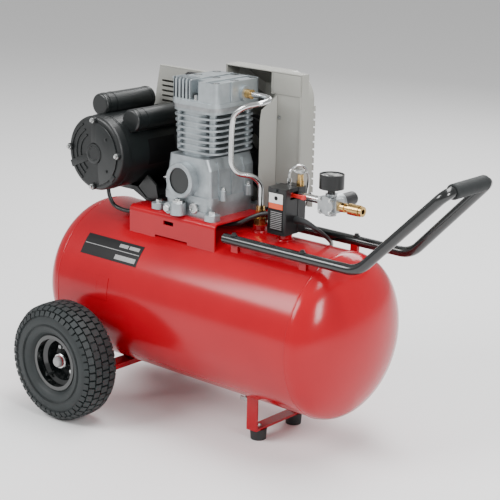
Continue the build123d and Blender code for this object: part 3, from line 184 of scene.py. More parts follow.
def pits_group():
    """Small cast pits and tool dimples, 1 on the skin and 0 in a pit."""
    tree, inlet, outlet = new_group(
        "cast_pits", "ShaderNodeTree",
        [("Vector", "Vector"), ("Scale", "Float", 260.0)],
        [("Skin", "Float")])
    cells = node_of(tree, "ShaderNodeTexVoronoi")
    spread = node_of(tree, "ShaderNodeMapRange")
    spread.inputs["From Min"].default_value = 0.05
    spread.inputs["From Max"].default_value = 0.4
    wire(tree, inlet, "Vector", cells, "Vector")
    wire(tree, inlet, "Scale", cells, "Scale")
    wire(tree, cells, "Distance", spread, "Value")
    wire(tree, spread, "Result", outlet, "Skin")


def finish_material(name, colour, shade, rough, metallic=0.0, coat=0.0, coat_rough=0.05,
                    blotch=12.0, grain=600.0, bump=0.1, pits=0.0, pit_bump=0.0, ior=1.5):
    """A finish: colour drifts towards shade, roughness from rough[0] to rough[1], grain as bump."""
    made = bpy.data.materials.new(name)
    made.use_nodes = True
    tree = made.node_tree
    shader = tree.nodes["Principled BSDF"]
    shader.inputs["Metallic"].default_value = metallic
    shader.inputs["Coat Weight"].default_value = coat
    shader.inputs["Coat Roughness"].default_value = coat_rough
    shader.inputs["IOR"].default_value = ior
    place = node_of(tree, "ShaderNodeTexCoord")
    cloud = node_of(tree, "ShaderNodeGroup", node_tree=bpy.data.node_groups["surface_grain"])
    cloud.inputs["Blotch Scale"].default_value = blotch
    cloud.inputs["Grain Scale"].default_value = grain
    wire(tree, place, "Object", cloud, "Vector")
    tint = node_of(tree, "ShaderNodeMix", data_type="RGBA")
    tint.inputs[6].default_value = (*colour, 1)
    tint.inputs[7].default_value = (*shade, 1)
    wire(tree, cloud, "Blotch", tint, 0)
    wire(tree, tint, 2, shader, "Base Color")
    gloss = node_of(tree, "ShaderNodeMapRange")
    gloss.inputs["To Min"].default_value = rough[0]
    gloss.inputs["To Max"].default_value = rough[1]
    wire(tree, cloud, "Grain", gloss, "Value")
    wire(tree, gloss, "Result", shader, "Roughness")
    relief = node_of(tree, "ShaderNodeBump")
    relief.inputs["Strength"].default_value = bump
    relief.inputs["Distance"].default_value = 0.4 * MM
    wire(tree, cloud, "Grain", relief, "Height")
    last = relief
    if pits:
        skin = node_of(tree, "ShaderNodeGroup", node_tree=bpy.data.node_groups["cast_pits"])
        skin.inputs["Scale"].default_value = pits
        wire(tree, place, "Object", skin, "Vector")
        dents = node_of(tree, "ShaderNodeBump")
        dents.inputs["Strength"].default_value = pit_bump
        dents.inputs["Distance"].default_value = 0.6 * MM
        wire(tree, skin, "Skin", dents, "Height")
        wire(tree, relief, "Normal", dents, "Normal")
        last = dents
    wire(tree, last, "Normal", shader, "Normal")
    materials[name] = made


def dial_glass():
    made = bpy.data.materials.new("dial_glass")
    made.use_nodes = True
    shader = made.node_tree.nodes["Principled BSDF"]
    shader.inputs["Base Color"].default_value = (1, 1, 1, 1)
    shader.inputs["Transmission Weight"].default_value = 1.0
    shader.inputs["Roughness"].default_value = 0.02
    shader.inputs["IOR"].default_value = 1.3
    materials["dial_glass"] = made


# ------------------------------------------------------------------ mesh helpers
AXES = {
    "X": (Vector((1, 0, 0)), Vector((0, 1, 0)), Vector((0, 0, 1))),
    "Y": (Vector((0, 1, 0)), Vector((0, 0, 1)), Vector((1, 0, 0))),
    "Z": (Vector((0, 0, 1)), Vector((1, 0, 0)), Vector((0, 1, 0))),
}


def skin(mesh, rings, closed=False):
    """Joins rings of vertices with faces; a row of rings that stays open gets flat caps."""
    pairs = list(zip(rings, rings[1:]))
    if closed:
        pairs.append((rings[-1], rings[0]))
    for first, second in pairs:
        for step in range(len(first)):
            after = (step + 1) % len(first)
            mesh.faces.new((first[step], first[after], second[after], second[step]))
    if not closed:
        mesh.faces.new(rings[0])
        mesh.faces.new(rings[-1])


def lathe(mesh, profile, centre, axis="Z", steps=64, closed=False):
    """Turns (along, radius) points about an axis; an open profile's ends get flat caps."""
    along, out, side = AXES[axis]
    rings = []
    for distance, radius in profile:
        ring = []
        for step in range(steps):
            angle = 2 * pi * step / steps
            spoke = out * cos(angle) + side * sin(angle)
            ring.append(mesh.verts.new(Vector(centre) + along * distance + spoke * radius))
        rings.append(ring)
    skin(mesh, rings, closed)


def brick(mesh, low, high, bevel=0.0, turn=None):
    """A box between two corners, with rounded edges, turned by a matrix about its middle."""
    low, high = Vector(low), Vector(high)
    middle = (low + high) / 2
    made = bmesh.ops.create_cube(mesh, size=1.0)
    size = high - low
    bmesh.ops.scale(mesh, vec=size, verts=made["verts"])
    if turn is not None:
        bmesh.ops.rotate(mesh, verts=made["verts"], matrix=turn)
    bmesh.ops.translate(mesh, vec=middle, verts=made["verts"])
    if bevel:
        edges = {edge for vert in made["verts"] for edge in vert.link_edges}
        bmesh.ops.bevel(mesh, geom=list(edges), offset=bevel, segments=2, affect="EDGES",
                        profile=0.6)


def plate(mesh, outline, plane, level, thickness, bevel=0.0):
    """A flat plate from an outline on plane XZ, XY or YZ, from level to level + thickness."""
    def put(point, distance):
        first, second = point
        if plane == "XZ":
            return Vector((first, distance, second))
        if plane == "XY":
            return Vector((first, second, distance))
        return Vector((distance, first, second))
    lower = [mesh.verts.new(put(point, level)) for point in outline]
    upper = [mesh.verts.new(put(point, level + thickness)) for point in outline]
    flats = [mesh.faces.new(lower), mesh.faces.new(upper)]
    for index in range(len(outline)):
        after = (index + 1) % len(outline)
        mesh.faces.new((lower[index], lower[after], upper[after], upper[index]))
    if bevel:
        edges = list({edge for flat in flats for edge in flat.edges})
        bmesh.ops.bevel(mesh, geom=edges, offset=bevel, segments=2, affect="EDGES", profile=0.6)


def curved_sheet(mesh, outer, inner):
    """A closed thin sheet from matching rows of vertex pairs on its two faces."""
    for rows in (outer, inner):
        for first, second in zip(rows, rows[1:]):
            mesh.faces.new((first[0], first[1], second[1], second[0]))
    last = len(outer) - 1
    for index in range(last):
        for end in (0, 1):
            mesh.faces.new((outer[index][end], outer[index + 1][end],
                            inner[index + 1][end], inner[index][end]))
    for index in (0, last):
        mesh.faces.new((outer[index][0], outer[index][1], inner[index][1], inner[index][0]))


def merge_turned(mesh, part, turn, offset):
    """Adds a small mesh to a larger one, turned about the origin and then moved."""
    bmesh.ops.rotate(part, verts=part.verts, cent=(0, 0, 0), matrix=turn)
    bmesh.ops.translate(part, verts=part.verts, vec=offset)
    holder = bpy.data.meshes.new("part")
    part.to_mesh(holder)
    part.free()
    mesh.from_mesh(holder)
    bpy.data.meshes.remove(holder)


def rod(mesh, points, radius, steps=10):
    """A round wire through points."""
    rings = []
    for index, point in enumerate(points):
        before = points[max(index - 1, 0)]
        after = points[min(index + 1, len(points) - 1)]
        heading = (Vector(after) - Vector(before)).normalized()
        turn = heading.to_track_quat("Z", "Y")
        ring = []
        for step in range(steps):
            angle = 2 * pi * step / steps
            ring.append(mesh.verts.new(
                Vector(point) + turn @ Vector((radius * cos(angle), radius * sin(angle), 0))))
        rings.append(ring)
    skin(mesh, rings)


def taper_rod(mesh, points, radii, steps=20, ribs=3):
    """A ribbed sleeve along a bend, with a radius at every point."""
    rings = []
    for index in range((len(points) - 1) * ribs + 1):
        first = min(index // ribs, len(points) - 2)
        share = index / ribs - first
        heading = (points[first + 1] - points[first]).normalized()
        centre = points[first].lerp(points[first + 1], share)
        radius = radii[first] * (1 - share) + radii[first + 1] * share
        radius *= 0.9 if index % 2 else 1.0
        turn = heading.to_track_quat("Z", "Y")
        rings.append([
            mesh.verts.new(centre + turn @ Vector((radius * cos(2 * pi * step / steps),
                                                   radius * sin(2 * pi * step / steps), 0)))
            for step in range(steps)])
    skin(mesh, rings)


def piece(name, mesh, material, body="frame", sharp=35, replaces=()):
    """Turns a bmesh into a finished piece that rides on a body."""
    bmesh.ops.remove_doubles(mesh, verts=mesh.verts, dist=1e-6)
    bmesh.ops.recalc_face_normals(mesh, faces=mesh.faces)
    bmesh.ops.translate(mesh, verts=mesh.verts, vec=SHIFT)
    data = bpy.data.meshes.new(name)
    mesh.to_mesh(data)
    mesh.free()
    data.materials.append(materials[material])
    data.shade_smooth()
    data.set_sharp_from_angle(angle=radians(sharp))
    made = bpy.data.objects.new(name, data)
    bpy.context.scene.collection.objects.link(made)
    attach(made, body)
    if replaces:
        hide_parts(*replaces)
    return made


def paint(material, *names):
    """Gives CAD nodes a finish."""
    for name in names:
        data = nodes[name].data
        data.materials.clear()
        data.materials.append(materials[material])


# ------------------------------------------------------------------ geometry node trees
def finish_tree(tree, place, outlet, material_name):
    """Ends a tree of instances in Realize Instances and Set Material."""
    real = node_of(tree, "GeometryNodeRealizeInstances")
    coat = node_of(tree, "GeometryNodeSetMaterial")
    coat.inputs["Material"].default_value = materials[material_name]
    wire(tree, place, "Instances", real, "Geometry")
    wire(tree, real, "Geometry", coat, "Geometry")
    wire(tree, coat, "Geometry", outlet, "Geometry")


def ring_tree(name, material_name):
    """Blocks set round a Y axis, each leant by Slant, with the first at Phase."""
    tree, inlet, outlet = new_group(
        name, "GeometryNodeTree",
        [("Geometry", "Geometry"), ("Count", "Int", 24), ("Radius", "Float", 0.1),
         ("Block", "Vector"), ("Phase", "Float", 0.0), ("Slant", "Float", 0.0),
         ("Centre", "Vector")],
        [("Geometry", "Geometry")])
    dots = node_of(tree, "GeometryNodePoints")
    wire(tree, inlet, "Count", dots, "Count")
    index = node_of(tree, "GeometryNodeInputIndex")
    share = node_of(tree, "ShaderNodeMath", operation="DIVIDE")
    wire(tree, index, "Index", share, 0)
    wire(tree, inlet, "Count", share, 1)
    turned = node_of(tree, "ShaderNodeMath", operation="MULTIPLY_ADD")
    turned.inputs[1].default_value = 2 * pi
    wire(tree, share, 0, turned, 0)
    wire(tree, inlet, "Phase", turned, 2)
    across = node_of(tree, "ShaderNodeMath", operation="SINE")
    upward = node_of(tree, "ShaderNodeMath", operation="COSINE")
    wire(tree, turned, 0, across, 0)
    wire(tree, turned, 0, upward, 0)
    spoke = node_of(tree, "ShaderNodeCombineXYZ")
    wire(tree, across, 0, spoke, "X")
    wire(tree, upward, 0, spoke, "Z")
    reach = node_of(tree, "ShaderNodeVectorMath", operation="SCALE")
    wire(tree, spoke, 0, reach, 0)
    wire(tree, inlet, "Radius", reach, "Scale")
    spot = node_of(tree, "ShaderNodeVectorMath", operation="ADD")
    wire(tree, reach, 0, spot, 0)
    wire(tree, inlet, "Centre", spot, 1)
    wire(tree, spot, 0, dots, "Position")
    turn = node_of(tree, "ShaderNodeCombineXYZ")
    wire(tree, turned, 0, turn, "Y")
    slant = node_of(tree, "ShaderNodeCombineXYZ")
    wire(tree, inlet, "Slant", slant, "X")
    cube = node_of(tree, "GeometryNodeMeshCube")
    wire(tree, inlet, "Block", cube, "Size")
    leant = node_of(tree, "GeometryNodeTransform")
    wire(tree, cube, "Mesh", leant, "Geometry")
    wire(tree, slant, 0, leant, "Rotation")
    place = node_of(tree, "GeometryNodeInstanceOnPoints")
    wire(tree, dots, 0, place, "Points")
    wire(tree, leant, "Geometry", place, "Instance")
    wire(tree, turn, 0, place, "Rotation")
    finish_tree(tree, place, outlet, material_name)


def row_tree(name, material_name):
    """Blocks in a straight row from Start, one Step apart, each turned by Turn."""
    tree, inlet, outlet = new_group(
        name, "GeometryNodeTree",
        [("Geometry", "Geometry"), ("Count", "Int", 8), ("Start", "Vector"), ("Step", "Vector"),
         ("Block", "Vector"), ("Turn", "Vector")],
        [("Geometry", "Geometry")])
    line = node_of(tree, "GeometryNodeMeshLine", mode="OFFSET")
    wire(tree, inlet, "Count", line, "Count")
    wire(tree, inlet, "Start", line, "Start Location")
    wire(tree, inlet, "Step", line, "Offset")
    cube = node_of(tree, "GeometryNodeMeshCube")
    wire(tree, inlet, "Block", cube, "Size")
    place = node_of(tree, "GeometryNodeInstanceOnPoints")
    wire(tree, line, "Mesh", place, "Points")
    wire(tree, cube, "Mesh", place, "Instance")
    wire(tree, inlet, "Turn", place, "Rotation")
    finish_tree(tree, place, outlet, material_name)


def screw_tree(name, material_name):
    """A washer and a hex head on every point of the mesh, facing Direction."""
    tree, inlet, outlet = new_group(
        name, "GeometryNodeTree",
        [("Geometry", "Geometry"), ("Head Radius", "Float", 0.005),
         ("Head Height", "Float", 0.004), ("Washer", "Float", 0.007), ("Sides", "Int", 6),
         ("Direction", "Vector")],
        [("Geometry", "Geometry")])
    head = node_of(tree, "GeometryNodeMeshCone")
    crown = node_of(tree, "ShaderNodeMath", operation="MULTIPLY")
    crown.inputs[1].default_value = 0.88
    wire(tree, inlet, "Head Radius", crown, 0)
    wire(tree, inlet, "Sides", head, "Vertices")
    wire(tree, crown, 0, head, "Radius Top")
    wire(tree, inlet, "Head Radius", head, "Radius Bottom")
    wire(tree, inlet, "Head Height", head, "Depth")
    washer = node_of(tree, "GeometryNodeMeshCylinder")
    washer.inputs["Vertices"].default_value = 20
    washer.inputs["Depth"].default_value = 1.6 * MM
    wire(tree, inlet, "Washer", washer, "Radius")
    both = node_of(tree, "GeometryNodeJoinGeometry")
    wire(tree, head, "Mesh", both, "Geometry")
    wire(tree, washer, "Mesh", both, "Geometry")
    aim = node_of(tree, "FunctionNodeAlignRotationToVector", axis="Z")
    wire(tree, inlet, "Direction", aim, "Vector")
    place = node_of(tree, "GeometryNodeInstanceOnPoints")
    wire(tree, inlet, "Geometry", place, "Points")
    wire(tree, both, "Geometry", place, "Instance")
    wire(tree, aim, "Rotation", place, "Rotation")
    finish_tree(tree, place, outlet, material_name)


def grow(name, tree, values, body="frame", points=((0, 0, 0),)):
    """Runs a tree on a few points and keeps the result as a plain mesh piece."""
    seed = bpy.data.meshes.new(name + "_seed")
    seed.from_pydata([Vector(point) for point in points], [], [])
    carrier = bpy.data.objects.new(name + "_seed", seed)
    bpy.context.scene.collection.objects.link(carrier)
    modifier = carrier.modifiers.new("grow", "NODES")
    modifier.node_group = tree
    for item in tree.interface.items_tree:
        if item.in_out == "INPUT" and item.name in values:
            modifier[item.identifier] = values[item.name]
    bpy.context.view_layer.update()
    graph = bpy.context.evaluated_depsgraph_get()
    data = bpy.data.meshes.new_from_object(carrier.evaluated_get(graph))
    data.name = name
    bpy.data.objects.remove(carrier)
    data.transform(Matrix.Translation(SHIFT))
    data.set_sharp_from_angle(angle=radians(30))
    made = bpy.data.objects.new(name, data)
    bpy.context.scene.collection.objects.link(made)
    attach(made, body)
    return made


def screws(name, points, direction, head=None, washer=None, body="frame", sides=6,
           tree="zinc_screws", height=4 * MM):
    """Hex heads with washers on points."""
    head = head or bpy.context.scene.compressor_sizes.screw_radius
    values = {"Head Radius": head, "Head Height": height, "Washer": washer or head * 1.5,
              "Sides": sides, "Direction": Vector(direction)}
    return grow(name, bpy.data.node_groups[tree], values, body, points)


# ------------------------------------------------------------------ operators
class COMPRESSOR_OT_finishes(bpy.types.Operator):
    """Makes every material and gives the CAD nodes theirs"""
    bl_idname = "compressor.finishes"
    bl_label = "Finishes"

    def execute(self, context):
        grain_group()
        pits_group()
        look = context.scene.compressor_paint
        tank = tuple(look.tank)
        black = tuple(look.black)
        cast = tuple(look.casting)
        guard = tuple(look.guard)
        tyre = tuple(look.tyre)
        darker = lambda colour, share: tuple(value * share for value in colour)
        finish_material("tank_enamel", tank, darker(tank, 0.85), (0.15, 0.22), coat=0.0,
                        blotch=5, grain=240, bump=0.02, ior=1.4)
        finish_material("black_enamel", black, darker(black, 0.7), (0.16, 0.28), coat=0.5,
                        blotch=20, grain=500, bump=0.03)
        finish_material("motor_paint", black, darker(black, 1.5), (0.26, 0.42), coat=0.15,
                        coat_rough=0.2, blotch=25, grain=420, bump=0.08)
        finish_material("motor_casting", darker(black, 1.25), darker(black, 0.8), (0.34, 0.5),
                        blotch=40, grain=700, bump=0.25, pits=420, pit_bump=0.12)
        finish_material("tyre_rubber", tyre, darker(tyre, 1.5), (0.5, 0.68), blotch=30,
                        grain=900, bump=0.15)
        finish_material("rim_enamel", darker(black, 0.8), black, (0.14, 0.24), coat=0.6,
                        blotch=30, grain=500, bump=0.02)
        finish_material("black_rubber", (0.013, 0.015, 0.016), (0.02, 0.022, 0.023),
                        (0.55, 0.75), blotch=40, grain=1200, bump=0.2)
        finish_material("grip_foam", (0.006, 0.008, 0.0085), (0.011, 0.014, 0.0145),
                        (0.62, 0.8), blotch=60, grain=1600, bump=0.45)
        finish_material("cast_aluminium", cast, darker(cast, 0.72), (0.34, 0.52), metallic=0.8,
                        blotch=35, grain=520, bump=0.22, pits=260, pit_bump=0.22)
        finish_material("die_cast", darker(cast, 1.12), darker(cast, 0.86), (0.28, 0.45),
                        metallic=0.85, blotch=30, grain=700, bump=0.12, pits=420,
                        pit_bump=0.1)
        finish_material("machined_steel", (0.42, 0.43, 0.44), (0.3, 0.31, 0.32), (0.25, 0.4),
                        metallic=1.0, blotch=60, grain=1200, bump=0.08)
        finish_material("grey_iron", (0.12, 0.12, 0.125), (0.07, 0.07, 0.072), (0.4, 0.6),
                        metallic=0.7, blotch=40, grain=600, bump=0.25, pits=500, pit_bump=0.1)
        finish_material("zinc_plate", (0.62, 0.63, 0.62), (0.45, 0.46, 0.46), (0.18, 0.34),
                        metallic=1.0, blotch=90, grain=1500, bump=0.04)
        finish_material("bright_tube", (0.66, 0.67, 0.66), (0.55, 0.56, 0.56), (0.14, 0.24),
                        metallic=1.0, blotch=50, grain=900, bump=0.04)
        finish_material("brass", (0.72, 0.49, 0.2), (0.5, 0.31, 0.11), (0.16, 0.32),
                        metallic=1.0, blotch=120, grain=1500, bump=0.05)
        finish_material("guard_coat", guard, darker(guard, 0.93), (0.38, 0.5), coat=0.1,
                        coat_rough=0.3, blotch=6, grain=900, bump=0.12)
        finish_material("switch_plastic", (0.005, 0.0055, 0.006), (0.008, 0.0085, 0.009),
                        (0.25, 0.38), blotch=60, grain=1500, bump=0.12)
        finish_material("lever_red", (0.62, 0.02, 0.02), (0.45, 0.012, 0.012), (0.25, 0.38),
                        coat=0.2, blotch=60, grain=1500, bump=0.08)
        finish_material("nickel_cast", (0.5, 0.52, 0.53), (0.36, 0.38, 0.39), (0.3, 0.45),
                        metallic=0.95, blotch=70, grain=900, bump=0.15, pits=700, pit_bump=0.1)
        finish_material("knob_plastic", (0.012, 0.012, 0.013), (0.02, 0.02, 0.021),
                        (0.4, 0.55), blotch=60, grain=2000, bump=0.15)
        finish_material("cord_vinyl", (0.006, 0.0065, 0.007), (0.01, 0.011, 0.011),
                        (0.3, 0.45), blotch=60, grain=1800, bump=0.08)
        finish_material("label_black", (0.004, 0.004, 0.0045), (0.006, 0.006, 0.0065),
                        (0.35, 0.45), blotch=20, grain=900, bump=0.01, ior=1.3)
        finish_material("label_white", (0.7, 0.7, 0.68), (0.62, 0.62, 0.6), (0.3, 0.4),
                        blotch=30, grain=900, bump=0.02)
        finish_material("label_grey", (0.22, 0.22, 0.22), (0.3, 0.3, 0.3), (0.3, 0.4),
                        blotch=200, grain=900, bump=0.02)
        finish_material("label_orange", (0.7, 0.09, 0.02), (0.6, 0.07, 0.015), (0.3, 0.4),
                        blotch=40, grain=900, bump=0.02)
        finish_material("dial_card", (0.75, 0.75, 0.73), (0.68, 0.68, 0.66), (0.5, 0.6),
                        blotch=60, grain=900, bump=0.01)
        dial_glass()
        paint("tank_enamel", "tank_barrel", "tank_heads", "saddle_plate", "axle_bracket",
              "foot_bracket")
        paint("black_enamel", "handle_tube")
        paint("grip_foam", "handle_grip")
        paint("black_rubber", "rubber_feet", "cord_gland")
        paint("motor_paint", "motor_shell", "capacitor_covers", "motor_bracket")
        paint("motor_casting", "motor_front_bell", "motor_rear_bell")
        paint("machined_steel", "motor_stator", "motor_rotor", "crank_bearings", "crankshaft",
              "valve_plate")
        paint("cast_aluminium", "pump_base", "crankcase", "cylinder_block")
        paint("die_cast", "cylinder_head", "connecting_rods", "pistons")
        paint("grey_iron", "flywheel", "motor_pulley")
        paint("motor_paint", "bearing_cover")
        paint("zinc_plate", "pump_bolts", "oil_fill_plug", "pipe_nipples", "safety_ring",
              "drain_handle")
        paint("knob_plastic", "intake_filter", "regulator_knob")
        paint("black_rubber", "drive_belt")
        paint("guard_coat", "guard_front", "guard_panel", "guard_back")
        paint("bright_tube", "discharge_tube", "unloader_tube")
        paint("brass", "discharge_fittings", "safety_valve", "coupler_body",
              "coupler_sleeve", "drain_valve")
        paint("switch_plastic", "switch_base", "switch_cover", "pressure_gauge")
        paint("lever_red", "switch_lever")
        paint("nickel_cast", "regulator_body")
        paint("black_enamel", "gauge_needle")
        paint("cord_vinyl", "motor_cable", "power_cord", "cord_coil", "cord_plug")
        paint("tyre_rubber", "tyre_front", "tyre_rear")
        paint("rim_enamel", "rim_front", "rim_rear")
        ring_tree("tread_ring", "tyre_rubber")
        ring_tree("knob_ring", "knob_plastic")
        row_tree("guard_row", "guard_coat")
        # This row of dark blocks is painted shade between the guard's side hoods.
        row_tree("dark_row", "label_black")
        row_tree("head_row", "die_cast")
        row_tree("label_row", "label_grey")
        screw_tree("zinc_screws", "zinc_plate")
        screw_tree("black_screws", "motor_paint")
        return {"FINISHED"}


class COMPRESSOR_OT_stage(bpy.types.Operator):
    """Sets the floor, the lights and the camera"""
    bl_idname = "compressor.stage"
    bl_label = "Stage"

    def area(self, name, place, target, size, power, colour=(1, 1, 1)):
        lamp = bpy.data.lights.new(name, "AREA")
        lamp.shape = "RECTANGLE"
        lamp.size, lamp.size_y = size
        lamp.energy = power
        lamp.color = colour
        made = bpy.data.objects.new(name, lamp)
        made.location = place
        aim = (Vector(target) - Vector(place)).to_track_quat("-Z", "Y")
        made.rotation_mode = "QUATERNION"
        made.rotation_quaternion = aim
        bpy.context.scene.collection.objects.link(made)

    def execute(self, context):
        data = bpy.data.cameras.new("camera")
        data.lens = LENS
        data.sensor_width = 36
        data.clip_start = 0.1
        data.clip_end = 40
        camera = bpy.data.objects.new("camera", data)
        place = Vector((2.095, -2.375, 1.271)) + SHIFT
        target = Vector((0.0454, 0.0471, 0.3734)) + SHIFT
        camera.location = place
        aim = (target - place).to_track_quat("-Z", "Y")
        camera.rotation_mode = "QUATERNION"
        camera.rotation_quaternion = aim @ Quaternion((0, 0, 1), radians(CAMERA_ROLL))
        context.scene.collection.objects.link(camera)
        context.scene.camera = camera
        floor_mesh = bmesh.new()
        brick(floor_mesh, (-9, -9, -0.02), (9, 9, -0.0004))
        floor_data = bpy.data.meshes.new("floor")
        floor_mesh.to_mesh(floor_data)
        floor_mesh.free()
        paper = bpy.data.materials.new("paper")
        paper.use_nodes = True
        shader = paper.node_tree.nodes["Principled BSDF"]
        shader.inputs["Base Color"].default_value = (0.86, 0.86, 0.86, 1)
        shader.inputs["Roughness"].default_value = 0.9
        shader.inputs["Specular IOR Level"].default_value = 0.1
        floor_data.materials.append(paper)
        floor = bpy.data.objects.new("floor", floor_data)
        context.scene.collection.objects.link(floor)
        world = bpy.data.worlds.new("studio")
        world.use_nodes = True
        world.node_tree.nodes["Background"].inputs[0].default_value = (1, 1, 1, 1)
        world.node_tree.nodes["Background"].inputs[1].default_value = 0.6
        context.scene.world = world
        self.area("key", (-1.6, -2.7, 2.7), (0, 0, 0.35), (2.0, 1.4), 120)
        self.area("side", (2.8, -0.9, 1.7), (0.3, 0, 0.4), (0.6, 1.2), 56)
        self.area("top", (0.3, 0.4, 3.0), (0, 0, 0.4), (3.0, 0.9), 100)
        self.area("rear", (-0.8, 3.2, 2.4), (0, 0, 0.5), (2.4, 1.2), 70)
        return {"FINISHED"}


class COMPRESSOR_OT_cord(bpy.types.Operator):
    """Lays the supply cord over the tank, down behind it and into its coil"""
    bl_idname = "compressor.cord"
    bl_label = "Supply cord"

    def execute(self, context):
        diameter = context.scene.compressor_sizes.cord_diameter
        lead = [
            (223, 4, 480), (242, 4, 477), (259, 14, 464), (263, 36, 447), (254, 60, 433),
            (238, 86, 421), (216, 116, 399), (190, 146, 369), (166, 168, 331),
            (146, 182, 288), (130, 190, 240), (122, 193, 188), (120, 194, 136),
            (118, 196, 86), (112, 204, 44), (98, 222, 15), (74, 236, 4.8), (44, 238, 4.6),
        ]
        tail = [
            (-58, 294, 13.8), (-58, 306, 14), (-60, 318, 14.5), (-65, 328, 15),
            (-72, 335.5, 15), (-80, 338, 15), (-84, 338, 15),
        ]
        turns = 3 + 115 / 360
        per_turn = 16
        count = int(per_turn * turns)
        layers = [(54.5, 4.6), (45.3, 4.6), (45.3, 13.9), (54.5, 13.9)]
        coil = []
        for step in range(1, count + 1):
            share = step / count * turns
            angle = radians(-65) - share * 2 * pi
            here = layers[int(share)] if share < turns else layers[-1]
            after = layers[min(int(share) + 1, len(layers) - 1)]
            ease = max(0.0, (share % 1 - 0.85) / 0.15)
            reach = here[0] + (after[0] - here[0]) * ease
            height = here[1] + (after[1] - here[1]) * ease
            coil.append((-4 + reach * cos(angle), 286 + reach * sin(angle), height))
        points = [Vector(place) * MM + SHIFT for place in lead + coil + tail]
        curve = bpy.data.curves.new("supply_cord", "CURVE")
        curve.dimensions = "3D"
        spline = curve.splines.new("NURBS")
        spline.points.add(len(points) - 1)
        for slot_point, place in zip(spline.points, points):
            slot_point.co = (*place, 1)
        spline.order_u = 3
        spline.use_endpoint_u = True
        spline.resolution_u = 6
        curve.bevel_depth = diameter / 2
        curve.bevel_resolution = 4
        curve.use_fill_caps = True
        curve.materials.append(materials["cord_vinyl"])
        made = bpy.data.objects.new("supply_cord", curve)
        context.scene.collection.objects.link(made)
        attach(made, "frame")
        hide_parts("power_cord", "cord_coil")
        boot = bmesh.new()
        bend = [Vector(place) * MM for place in (
            (-82, 338, 15), (-76, 337.2, 15), (-71, 334.8, 15), (-66.5, 330, 15),
            (-62.8, 324.5, 14.8), (-60, 318, 14.5))]
        taper_rod(boot, bend, [radius * MM for radius in (8.2, 7.6, 7.0, 6.4, 5.8, 5.3)])
        plug_boot = piece("plug_boot", boot, "cord_vinyl")
        relief = bmesh.new()
        bend = [Vector(place) * MM for place in (
            (220, 4, 480), (227, 4, 479.7), (234, 4, 478.7), (241, 4.2, 476.7),
            (247.5, 6, 473.2), (253, 9, 469))]
        taper_rod(relief, bend, [radius * MM for radius in (7.4, 7.0, 6.5, 6.1, 5.7, 5.3)])
        exit_boot = piece("exit_boot", relief, "black_rubber")
        return {"FINISHED"}


